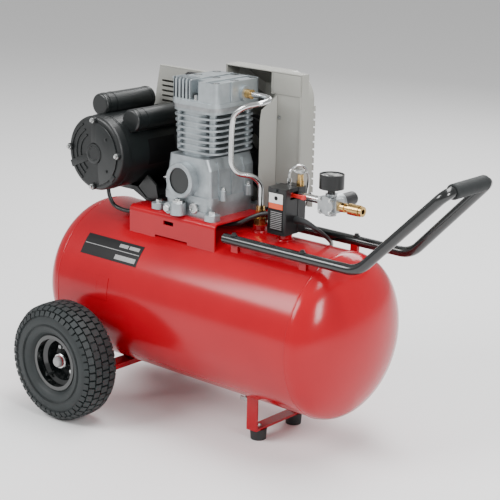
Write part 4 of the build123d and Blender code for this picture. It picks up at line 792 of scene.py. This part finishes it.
class COMPRESSOR_OT_wheels(bpy.types.Operator):
    """Builds the treaded tyres, the rims' bolts and the axle caps"""
    bl_idname = "compressor.wheels"
    bl_label = "Wheels"

    def execute(self, context):
        sizes = context.scene.compressor_sizes
        for end, side in (("front", -1), ("rear", 1)):
            low, high = box("tyre_" + end)
            middle = (low + high) / 2
            base = TYRE_RADIUS - sizes.tread_depth
            half = TYRE_HALF
            rim = RIM_RADIUS
            profile = [
                (half - 16.5 * MM, rim), (half - 16.5 * MM, rim + 7 * MM),
                (half - 9 * MM, rim + 12 * MM), (half - 6 * MM, rim + 15 * MM),
                (half - 3.2 * MM, rim + 24 * MM), (half - 1.4 * MM, rim + 35 * MM),
                (half - 2.5 * MM, rim + 46 * MM), (half - 6 * MM, base - 14 * MM),
                (half - 12 * MM, base - 6.5 * MM), (half - 22 * MM, base - 1.5 * MM),
                (0, base),
            ]
            mirrored = [(-along, reach) for along, reach in reversed(profile[:-1])]
            inner = [(-(half - 24 * MM), rim), (-(half - 24 * MM), rim + 8 * MM),
                     (half - 24 * MM, rim + 8 * MM), (half - 24 * MM, rim)]
            tyre = bmesh.new()
            lathe(tyre, profile + mirrored + inner, middle, "Y", 96, closed=True)
            for groove in (28, 30.5):
                lathe(tyre, [(side * (half - 1.2 * MM) - 0.6 * MM, rim + groove * MM),
                             (side * (half - 1.2 * MM) + 0.6 * MM, rim + groove * MM),
                             (side * (half - 1.2 * MM) + 0.6 * MM, rim + (groove + 1) * MM),
                             (side * (half - 1.2 * MM) - 0.6 * MM, rim + (groove + 1) * MM)],
                      middle, "Y", 96, closed=True)
            piece("tyre_body_" + end, tyre, "tyre_rubber", "wheel_" + end,
                  replaces=("tyre_" + end,))
            step = 2 * pi / sizes.tread_count
            rows = [
                ("crown", 0.0, 17, 14.2, 0.0, 0.0, 0.0, 9.6),
                ("inner_left", -18.3, 14.5, 14.4, 0.5, 0.7, 0.1, 9.6),
                ("inner_right", 18.3, 14.5, 14.4, 0.5, 0.7, -0.1, 9.6),
                ("outer_left", -31.2, 12, 14.0, 0.0, 5.2, 0.5, 9),
                ("outer_right", 31.2, 12, 14.0, 0.0, 5.2, -0.5, 9),
                ("shoulder_left", -38.2, 11, 12.6, 0.5, 14.0, 1.08, 7),
                ("shoulder_right", 38.2, 11, 12.6, 0.5, 14.0, -1.08, 7),
            ]
            for row, across, wide, long_size, phase, drop, slant, thick in rows:
                reach = base + 0.2 * MM - drop * MM + 0.5 * MM
                values = {
                    "Count": sizes.tread_count, "Radius": reach,
                    "Block": Vector((long_size, wide, thick)) * MM,
                    "Phase": phase * step, "Slant": slant,
                    "Centre": middle + Vector((0, across * MM, 0)),
                }
                grow(f"tread_{row}_{end}", bpy.data.node_groups["tread_ring"], values,
                     "wheel_" + end)
            hub_face = middle.y + side * 8 * MM
            cap = bmesh.new()
            lathe(cap, [(0, 17.5 * MM), (side * 5 * MM, 17.5 * MM), (side * 7 * MM, 15.5 * MM),
                        (side * 7 * MM, 10 * MM)], (middle.x, hub_face, middle.z), "Y", 40)
            piece("axle_washer_" + end, cap, "zinc_plate", "wheel_" + end)
            dome = bmesh.new()
            lathe(dome, [(0, 12.5 * MM), (side * 7 * MM, 12.2 * MM), (side * 9.6 * MM, 10 * MM),
                         (side * 10.6 * MM, 5 * MM)],
                  (middle.x, middle.y + side * 14.5 * MM, middle.z), "Y", 32)
            piece("axle_cap_" + end, dome, "label_grey", "wheel_" + end)
            bolt_points = []
            for index in range(4):
                angle = radians(35 + 90 * index)
                bolt_points.append((middle.x + 30 * MM * cos(angle),
                                    middle.y - side * 11.2 * MM,
                                    middle.z + 30 * MM * sin(angle)))
            screws("rim_bolts_" + end, bolt_points, (0, side, 0), head=5.2 * MM,
                   washer=6.6 * MM, body="wheel_" + end, height=9 * MM)
            valve = bmesh.new()
            lathe(valve, [(0, 3.4 * MM), (side * 16 * MM, 3.2 * MM), (side * 18 * MM, 2.6 * MM),
                          (side * 24 * MM, 2.6 * MM)],
                  (middle.x - 30 * MM, middle.y + side * 2 * MM, middle.z - 36 * MM), "Y", 16)
            piece("tyre_valve_" + end, valve, "black_rubber", "wheel_" + end)
        return {"FINISHED"}


class COMPRESSOR_OT_tank(bpy.types.Operator):
    """Adds the tank's seams, its label strip, its plate and the bung welds"""
    bl_idname = "compressor.tank"
    bl_label = "Tank details"

    def execute(self, context):
        bead = context.scene.compressor_sizes.weld_radius
        welds = bmesh.new()
        for seam_x in (-TANK_SEAM, TANK_SEAM):
            ring = [(seam_x - bead * 1.6, TANK_RADIUS - 0.4 * MM),
                    (seam_x - bead, TANK_RADIUS + 0.5 * MM),
                    (seam_x, TANK_RADIUS + 0.9 * MM),
                    (seam_x + bead, TANK_RADIUS + 0.5 * MM),
                    (seam_x + bead * 1.6, TANK_RADIUS - 0.4 * MM)]
            lathe(welds, ring, (0, 0, TANK_AXIS), "X", 128, closed=True)
        for bung_x, bung_y in ((181, 0), (100, 14)):
            base = TANK_AXIS + sqrt(TANK_RADIUS**2 - (bung_y * MM) ** 2)
            lathe(welds, mm((-1.5, 14), (-1.5, 19), (0.6, 18.5), (2.6, 16.4), (3.4, 14)),
                  (bung_x * MM, bung_y * MM, base), "Z", 40, closed=True)
        piece("tank_welds", welds, "tank_enamel")

        def strip(name, x0, x1, top, bottom, lift, material):
            """A thin sheet that follows the tank's side between two angles from the top."""
            sheet = bmesh.new()
            steps = 14
            outer_rows, inner_rows = [], []
            for step in range(steps + 1):
                angle = radians(top + (bottom - top) * step / steps)
                for rows, reach in ((outer_rows, TANK_RADIUS + lift),
                                    (inner_rows, TANK_RADIUS + 0.05 * MM)):
                    y = -reach * sin(angle)
                    z = TANK_AXIS + reach * cos(angle)
                    rows.append([sheet.verts.new((x, y, z)) for x in (x0 * MM, x1 * MM)])
            curved_sheet(sheet, outer_rows, inner_rows)
            piece(name, sheet, material)

        strip("label_strip", -279, -107, 44.5, 60.5, 0.5 * MM, "label_black")
        strip("label_band", -276, -110, 51.8, 52.3, 0.75 * MM, "label_grey")
        strip("label_block", -176, -114, 55.2, 58.6, 0.75 * MM, "label_grey")
        for index, (x0, x1) in enumerate(((-176, -150), (-146, -116))):
            strip(f"label_bar_{index}", x0, x1, 46.8, 49.4, 0.75 * MM, "label_grey")
        strip("data_plate", -277, -173, 73, 89, 1.1 * MM, "tank_enamel")
        strip("data_plate_field", -252, -206, 76.5, 84, 1.4 * MM, "tank_enamel")
        return {"FINISHED"}


class COMPRESSOR_OT_motor(bpy.types.Operator):
    """Adds the motor's ribs, terminal cover, lugs, bands, bolts and rating plate"""
    bl_idname = "compressor.motor"
    bl_label = "Motor details"

    def execute(self, context):
        low, high = box("motor_front_bell")
        centre_x = (low.x + high.x) / 2
        centre_z = (low.z + high.z) / 2
        face = (centre_x, MOTOR_FACE, centre_z)
        trim = bmesh.new()
        lathe(trim, mm((0, 23), (-4, 22), (-5, 19), (-5, 16), (-2, 13)), face, "Y", 48)
        for angle in (90, 205, 320):
            turn = Matrix.Rotation(-radians(angle - 90), 4, "Y")
            arm = bmesh.new()
            brick(arm, at(-8, -3, 20), (8 * MM, 1.2 * MM, MOTOR_RADIUS - 4 * MM), 1.5 * MM)
            merge_turned(trim, arm, turn, face)
        for ring in (44, 57, 70):
            outline = []
            for step in range(13):
                angle = radians(120 + 118 * step / 12)
                outline.append(((ring - 2) * cos(angle), (ring - 2) * sin(angle)))
            for step in range(13):
                angle = radians(238 - 118 * step / 12)
                outline.append(((ring + 2) * cos(angle), (ring + 2) * sin(angle)))
            plate(trim, [(centre_x + x * MM, centre_z + z * MM) for x, z in outline], "XZ",
                  MOTOR_FACE - 2 * MM, 3 * MM)
        piece("bell_ribs", trim, "motor_casting", sharp=30)
        cover = bmesh.new()
        outline = [(centre_x + 4 * MM, centre_z + 24 * MM)]
        for step in range(15):
            angle = radians(84 - 160 * step / 14)
            outline.append((centre_x + 70 * MM * cos(angle), centre_z + 70 * MM * sin(angle)))
        outline.append((centre_x + 12 * MM, centre_z - 24 * MM))
        for step in range(7):
            angle = radians(-58 + 116 * step / 6)
            outline.append((centre_x + 26 * MM * cos(angle), centre_z + 26 * MM * sin(angle)))
        plate(cover, outline, "XZ", MOTOR_FACE - 3.2 * MM, 3.6 * MM, 0.8 * MM)
        piece("terminal_cover", cover, "motor_paint")
        screws("terminal_screws", [(centre_x + 38 * MM, MOTOR_FACE - 3.4 * MM, centre_z + 36 * MM),
                                   (centre_x + 40 * MM, MOTOR_FACE - 3.4 * MM, centre_z - 34 * MM)],
               (0, -1, 0), head=3 * MM, washer=4.4 * MM, tree="black_screws", height=2.5 * MM)
        lugs = bmesh.new()
        points = []
        for angle in (4, 90, 176, 268):
            spot = (centre_x + LUG_RING * cos(radians(angle)),
                    centre_z + LUG_RING * sin(radians(angle)))
            lathe(lugs, mm((2, 7.5), (-5, 7.5), (-6, 6.4)),
                  (spot[0], MOTOR_FACE, spot[1]), "Y", 24)
            points.append((spot[0], MOTOR_FACE - 6.6 * MM, spot[1]))
        piece("bell_lugs", lugs, "motor_casting")
        screws("bell_bolts", points, (0, -1, 0), head=4.4 * MM, washer=5.8 * MM, height=5 * MM)
        bands = bmesh.new()
        for band_y in (-113, -109, 62, 66):
            lathe(bands, [(band_y * MM, MOTOR_RADIUS - 1 * MM),
                          (band_y * MM, MOTOR_RADIUS + 0.9 * MM),
                          ((band_y + 2.2) * MM, MOTOR_RADIUS + 0.9 * MM),
                          ((band_y + 2.2) * MM, MOTOR_RADIUS - 1 * MM)],
                  (centre_x, 0, centre_z), "Y", 96, closed=True)
        piece("shell_rims", bands, "motor_paint")
        caps = bmesh.new()
        for offset_x, offset_z in ((-29, 98), (66, 75)):
            for band_y in (-84, -64, 44):
                lathe(caps, [(band_y * MM, 24.4 * MM), (band_y * MM, 25.7 * MM),
                             ((band_y + 6) * MM, 25.7 * MM), ((band_y + 6) * MM, 24.4 * MM)],
                      (centre_x + offset_x * MM, 0, centre_z + offset_z * MM), "Y", 48,
                      closed=True)
        for face_edge in list(caps.faces):
            middle = face_edge.calc_center_median()
            reach = sqrt((middle.x - centre_x) ** 2 + (middle.z - centre_z) ** 2)
            if reach < MOTOR_RADIUS - 2 * MM:
                caps.faces.remove(face_edge)
        for edge in [edge for edge in caps.edges if not edge.link_faces]:
            caps.edges.remove(edge)
        bmesh.ops.holes_fill(caps, edges=[edge for edge in caps.edges if edge.is_boundary])
        piece("cover_bands", caps, "motor_paint")
        rating = bmesh.new()
        steps = 10
        outer, inner = [], []
        for step in range(steps + 1):
            angle = radians(-18 + 40 * step / steps)
            for rows, reach in ((outer, MOTOR_RADIUS + 0.6 * MM),
                                (inner, MOTOR_RADIUS + 0.05 * MM)):
                x = centre_x + reach * cos(angle)
                z = centre_z + reach * sin(angle)
                rows.append([rating.verts.new((x, y, z)) for y in (-52 * MM, 30 * MM)])
        curved_sheet(rating, outer, inner)
        piece("rating_plate", rating, "label_black")
        return {"FINISHED"}


class COMPRESSOR_OT_pump(bpy.types.Operator):
    """Adds the pump's bearing ring, ribs, bosses, crests, sight glass, drain plug and filter"""
    bl_idname = "compressor.pump"
    bl_label = "Pump details"

    def execute(self, context):
        low, high = box("bearing_cover")
        centre_x = (low.x + high.x) / 2
        centre_z = (low.z + high.z) / 2
        face = low.y
        ring = bmesh.new()
        lathe(ring, mm((6, 37.5), (-0.2, 37.5), (-1.6, 36), (-1.6, 29), (0.4, 27.4), (6, 27.4)),
              (centre_x, face, centre_z), "Y", 72, closed=True)
        piece("bearing_ring", ring, "cast_aluminium")
        ribs = bmesh.new()
        for rib_y in (-52, -12, 28):
            outline = [(34, 508), (40, 508), (39, 560), (32, 582), (28, 582)]
            plate(ribs, [(x * MM, z * MM) for x, z in outline], "XZ", rib_y * MM, 5 * MM, 1 * MM)
        for boss_y in (-42, 38):
            lathe(ribs, mm((0, 9), (21, 8.2), (22.5, 6.6)),
                  (42 * MM, boss_y * MM, 500 * MM), "Z", 24)
        piece("case_ribs", ribs, "cast_aluminium")
        screws("case_bolts", [(42 * MM, y * MM, 524 * MM) for y in (-42, 38)], (0, 0, 1),
               head=5.2 * MM, washer=6.4 * MM, height=5 * MM)
        crests = {
            "Count": 5, "Start": at(-84.6, -46, 751),
            "Step": at(10, 0, 0), "Block": at(3.6, 38, 4),
            "Turn": Vector((0, 0, 0)),
        }
        grow("head_crests", bpy.data.node_groups["head_row"], crests)
        ridges = bmesh.new()
        brick(ridges, at(-36, -66, 749), at(-31, 70, 753), 1.2 * MM)
        brick(ridges, at(8, -66, 749), at(13, 70, 753), 1.2 * MM)
        brick(ridges, at(36.6, -20, 710), at(41, -14, 751), 1.2 * MM)
        piece("head_ridges", ridges, "die_cast")
        sight = bmesh.new()
        lathe(sight, mm((2, 12), (-5, 12), (-6.5, 10.5), (-6.5, 8), (-4, 7.4)),
              at(-4, -80, 482), "Y", 40)
        piece("sight_glass_rim", sight, "zinc_plate")
        drain = bmesh.new()
        lathe(drain, mm((0, 8.5), (-6, 8.5), (-6.6, 7.6)),
              at(-55, -109.8, 478), "Y", 6)
        piece("oil_drain_plug", drain, "zinc_plate")
        filter_low, filter_high = box("intake_filter")
        filter_mid = (filter_low + filter_high) / 2
        canister = bmesh.new()
        profile = mm((0, 8), (0.5, 20), (2, 23))
        for index in range(5):
            start = (4 + 6 * index) * MM
            profile += [(start, 24.6 * MM), (start + 3.4 * MM, 24.6 * MM),
                        (start + 3.6 * MM, 22.8 * MM), (start + 5.6 * MM, 22.8 * MM)]
        profile += mm((35, 23.6), (36, 22), (36.2, 10), (45, 10))
        lathe(canister, profile, (filter_low.x, filter_mid.y, filter_mid.z), "X", 64)
        piece("filter_canister", canister, "knob_plastic",
              replaces=("intake_filter",))
        return {"FINISHED"}


class COMPRESSOR_OT_guard(bpy.types.Operator):
    """Adds the guard's side hoods with painted shade between them, its deflector, bands, lips and
    screws
    """
    bl_idname = "compressor.guard"
    bl_label = "Guard details"

    def execute(self, context):
        hoods = {
            "Count": 14, "Start": at(131, 142, 477),
            "Step": Vector((0, 0, HOOD_PITCH)), "Block": at(11, 30, 11.6),
            "Turn": Vector((radians(-9), 0, GUARD_BEVEL)),
        }
        grow("guard_hoods", bpy.data.node_groups["guard_row"], hoods)
        # Dark blocks set back between the hoods are painted shade in the openings, not a part of
        # the guard.
        painted_shade_values = {
            "Count": 13, "Start": at(128.5, 141, 485.1),
            "Step": Vector((0, 0, HOOD_PITCH)), "Block": at(9, 26, 4.2),
            "Turn": Vector((0, 0, GUARD_BEVEL)),
        }
        grow("guard_painted_shade", bpy.data.node_groups["dark_row"], painted_shade_values)
        deflector = bmesh.new()
        front = [(75, 89.8, 716), (57, 59, 684), (55, 57, 660), (55, 57, 470), (75, 89.8, 470)]
        thick = Vector((1.6, -0.9, 0)) * MM
        near = [deflector.verts.new(Vector(spot) * MM) for spot in front]
        far = [deflector.verts.new(Vector(spot) * MM + thick) for spot in front]
        deflector.faces.new(near)
        deflector.faces.new(far)
        for index in range(len(front)):
            after = (index + 1) % len(front)
            deflector.faces.new((near[index], near[after], far[after], far[index]))
        piece("guard_deflector", deflector, "guard_coat")
        band = bmesh.new()
        brick(band, at(66, 87.6, 718), at(140, 90.4, 762), 1.2 * MM)
        brick(band, at(138, 88.2, 452), at(142.6, 90.4, 720), 0.8 * MM)
        piece("guard_band", band, "guard_coat")
        lips = bmesh.new()
        rod(lips, [Vector(spot) * MM for spot in (
            (-71, 90.4, 742), (-71, 90.4, 764.5), (141, 90.4, 764.5))], 1.7 * MM)
        rod(lips, [Vector(spot) * MM for spot in (
            (-272, 90.6, 739), (-180, 90.6, 739), (-74, 90.6, 739))], 1.5 * MM)
        piece("guard_lips", lips, "guard_coat")
        screws("guard_screws", [(83 * MM, 89.4 * MM, z * MM) for z in (520, 668)],
               (0, -1, 0), head=3.2 * MM, washer=4.4 * MM, height=3 * MM)
        return {"FINISHED"}


class COMPRESSOR_OT_controls(bpy.types.Operator):
    """Adds the switch's label and seams, the gauge's dial and glass, and the knob's ribs"""
    bl_idname = "compressor.controls"
    bl_label = "Controls"

    def execute(self, context):
        low, high = box("switch_cover")
        width = high.x - low.x
        label = bmesh.new()
        brick(label, (low.x + 4 * MM, low.y - 0.5 * MM, low.z + 8 * MM),
              (high.x - 5 * MM, low.y + 0.2 * MM, high.z - 10 * MM), 0.15 * MM)
        piece("switch_label", label, "label_black")
        field = bmesh.new()
        brick(field, (low.x + 5 * MM, low.y - 0.8 * MM, high.z - 32 * MM),
              (high.x - 6 * MM, low.y - 0.3 * MM, high.z - 11 * MM))
        piece("switch_label_field", field, "label_white")
        icon = bmesh.new()
        lathe(icon, mm((-1.1, 4.6), (-0.6, 4.6)),
              ((low.x + high.x) / 2, low.y, high.z - 21 * MM), "Y", 24)
        piece("switch_label_icon", icon, "label_black")
        band = bmesh.new()
        brick(band, (low.x + 5 * MM, low.y - 0.8 * MM, high.z - 44 * MM),
              (high.x - 6 * MM, low.y - 0.3 * MM, high.z - 32.5 * MM))
        piece("switch_label_band", band, "label_orange")
        values = {"Count": 10, "Start": Vector(((low.x + high.x) / 2 + 1 * MM,
                                                low.y - 0.55 * MM, low.z + 13 * MM)),
                  "Step": at(0, 0, 3.9), "Block": Vector((width - 18 * MM, 0.4 * MM,
                                                                   1.5 * MM)),
                  "Turn": Vector((0, 0, 0))}
        grow("switch_label_rows", bpy.data.node_groups["label_row"], values)
        screws("switch_screws", [((low.x + high.x) / 2, low.y - 0.6 * MM, high.z - 5 * MM)],
               (0, -1, 0), head=3.0 * MM, washer=4.2 * MM, tree="black_screws", height=3 * MM)
        seam = bmesh.new()
        brick(seam, (low.x - 0.8 * MM, high.y - 1.5 * MM, low.z), (high.x + 0.8 * MM,
              high.y + 0.5 * MM, high.z + 0.8 * MM), 0.3 * MM)
        piece("switch_seam", seam, "switch_plastic")

        gauge_low, gauge_high = box("pressure_gauge")
        centre = Vector(((gauge_low.x + gauge_high.x) / 2, (gauge_low.y + gauge_high.y) / 2,
                         gauge_high.z))
        card = bmesh.new()
        lathe(card, mm((-6.0, 23.8), (-5.6, 23.8)), centre, "Z", 64)
        piece("gauge_dial", card, "dial_card")
        ticks = bmesh.new()
        for index in range(TICKS):
            angle = radians(225 - 9 * index)
            long_tick = index % 5 == 0
            inner = (15.5 if long_tick else 18) * MM
            turn = Matrix.Rotation(angle, 4, "Z")
            tick = bmesh.new()
            half = (0.55 if long_tick else 0.28) * MM
            brick(tick, (inner, -half, -5.62 * MM), (21 * MM, half, -5.35 * MM))
            merge_turned(ticks, tick, turn, centre)
        piece("gauge_ticks", ticks, "label_black")
        for index in range(0, 7, 2):
            angle = radians(225 - 45 * index)
            words = bpy.data.curves.new("number", "FONT")
            words.body = str(index * 25)
            words.size = 4.6 * MM
            words.align_x = "CENTER"
            words.align_y = "CENTER"
            words.extrude = 0.1 * MM
            holder = bpy.data.objects.new("number", words)
            context.scene.collection.objects.link(holder)
            context.view_layer.update()
            graph = context.evaluated_depsgraph_get()
            data = bpy.data.meshes.new_from_object(holder.evaluated_get(graph))
            bpy.data.objects.remove(holder)
            spot = SHIFT + centre + Vector((11.5 * MM * cos(angle), 11.5 * MM * sin(angle),
                                            -5.45 * MM))
            data.transform(Matrix.Translation(spot) @ Matrix.Rotation(radians(40), 4, "Z"))
            data.materials.clear()
            data.materials.append(materials["label_black"])
            data.name = f"gauge_number_{index}"
            made = bpy.data.objects.new(data.name, data)
            context.scene.collection.objects.link(made)
            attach(made, "frame")
        glass = bmesh.new()
        lathe(glass, mm((-2.6, 24.1), (-1.4, 24.1), (-1.0, 16), (-0.8, 6)), centre, "Z", 64)
        piece("gauge_glass", glass, "dial_glass")
        bezel = bmesh.new()
        lathe(bezel, mm((-7, 24.1), (-0.2, 24.1), (0, 24.6), (0, 25.4), (-0.8, 25.95),
                        (-5, 25.95), (-5.6, 25.2), (-7, 25.2)), centre, "Z", 72, closed=True)
        piece("gauge_bezel", bezel, "black_enamel")

        knob_low, knob_high = box("regulator_knob")
        knob_centre = Vector(((knob_low.x + knob_high.x) / 2, 0, (knob_low.z + knob_high.z) / 2))
        values = {"Count": 18, "Radius": 14.1 * MM,
                  "Block": at(1.6, 30, 0.8), "Phase": 0.0, "Slant": 0.0,
                  "Centre": knob_centre + at(0, 73, 0)}
        grow("knob_ribs", bpy.data.node_groups["knob_ring"], values, "regulator_knob")
        body_low, body_high = box("regulator_body")
        middle = (body_low + body_high) / 2
        corners = [(middle.x + sx * 13 * MM, body_low.y - 0.2 * MM, middle.z + sz * 13 * MM)
                   for sx in (-1, 1) for sz in (-1, 1)]
        bosses = bmesh.new()
        for corner in corners:
            lathe(bosses, mm((0, 5.6), (10, 6)), corner, "Y", 20)
        piece("regulator_bosses", bosses, "nickel_cast")
        screws("regulator_screws", [(x, y - 1 * MM, z) for x, y, z in corners], (0, -1, 0),
               head=3.2 * MM, washer=4.4 * MM, height=3 * MM)

        sleeve_low, sleeve_high = box("coupler_sleeve")
        sleeve_mid = (sleeve_low + sleeve_high) / 2
        sleeve = bmesh.new()
        for start in (2, 6, 10, 18, 22):
            lathe(sleeve, [(start * MM, 11.4 * MM), (start * MM, 11.95 * MM),
                           ((start + 1.8) * MM, 11.95 * MM), ((start + 1.8) * MM, 11.4 * MM)],
                  (sleeve_low.x, sleeve_mid.y, sleeve_mid.z), "X", 48, closed=True)
        piece("sleeve_ridges", sleeve, "brass", "coupler_sleeve")
        return {"FINISHED"}


class COMPRESSOR_OT_handle(bpy.types.Operator):
    """Adds the grip's collars, the handle's mounting bolts and the feet's screws"""
    bl_idname = "compressor.handle"
    bl_label = "Handle and feet"

    def execute(self, context):
        grip_low, grip_high = box("handle_grip")
        mid = (grip_low + grip_high) / 2
        collars = bmesh.new()
        for side in (-1, 1):
            start = side * (grip_high.y - 0.2 * MM)
            lathe(collars, [(start, 15.5 * MM), (start + side * 1.6 * MM, 15.2 * MM),
                            (start + side * 3.4 * MM, 13.6 * MM),
                            (start + side * 3.8 * MM, 11.2 * MM), (start, 11.2 * MM)],
                  (mid.x, 0, mid.z), "Y", 48, closed=True)
        piece("grip_collars", collars, "grip_foam")
        tube_low = box("handle_tube")[0]
        points = [(x * MM, side * HANDLE_Y, tube_low.z + 22.4 * MM)
                  for x in (118, 300) for side in (-1, 1)]
        screws("handle_bolts", points, (0, 0, 1), head=5.4 * MM, washer=7.5 * MM,
               tree="black_screws", height=5 * MM)
        foot_low, foot_high = box("rubber_feet")
        screws("foot_screws", [((foot_low.x + foot_high.x) / 2, side * FOOT_Y, 29.8 * MM)
                               for side in (-1, 1)], (0, 0, 1), head=4.8 * MM, washer=7 * MM)
        return {"FINISHED"}


class COMPRESSOR_PT_panel(bpy.types.Panel):
    """Shows the compressor's colours, sizes and build steps in the sidebar"""
    bl_label = "Air compressor"
    bl_idname = "COMPRESSOR_PT_panel"
    bl_space_type = "VIEW_3D"
    bl_region_type = "UI"
    bl_category = "Compressor"

    def draw(self, context):
        layout = self.layout
        for source in (context.scene.compressor_paint, context.scene.compressor_sizes):
            for key in source.bl_rna.properties.keys():
                if key not in ("rna_type", "name"):
                    layout.prop(source, key)
        for operator in OPERATORS:
            layout.operator(operator.bl_idname)


OPERATORS = (
    COMPRESSOR_OT_finishes, COMPRESSOR_OT_stage, COMPRESSOR_OT_cord, COMPRESSOR_OT_wheels,
    COMPRESSOR_OT_tank, COMPRESSOR_OT_motor, COMPRESSOR_OT_pump, COMPRESSOR_OT_guard,
    COMPRESSOR_OT_controls, COMPRESSOR_OT_handle,
)
CLASSES = (COMPRESSOR_PG_paint, COMPRESSOR_PG_sizes, *OPERATORS, COMPRESSOR_PT_panel)


def register():
    for item in CLASSES:
        bpy.utils.register_class(item)
    bpy.types.Scene.compressor_paint = bpy.props.PointerProperty(type=COMPRESSOR_PG_paint)
    bpy.types.Scene.compressor_sizes = bpy.props.PointerProperty(type=COMPRESSOR_PG_sizes)


def unregister():
    del bpy.types.Scene.compressor_paint
    del bpy.types.Scene.compressor_sizes
    for item in reversed(CLASSES):
        bpy.utils.unregister_class(item)


def main():
    register()
    bpy.ops.compressor.finishes()
    bpy.ops.compressor.stage()
    bpy.ops.compressor.cord()
    bpy.ops.compressor.wheels()
    bpy.ops.compressor.tank()
    bpy.ops.compressor.motor()
    bpy.ops.compressor.pump()
    bpy.ops.compressor.guard()
    bpy.ops.compressor.controls()
    bpy.ops.compressor.handle()


if __name__ == "__main__":
    main()
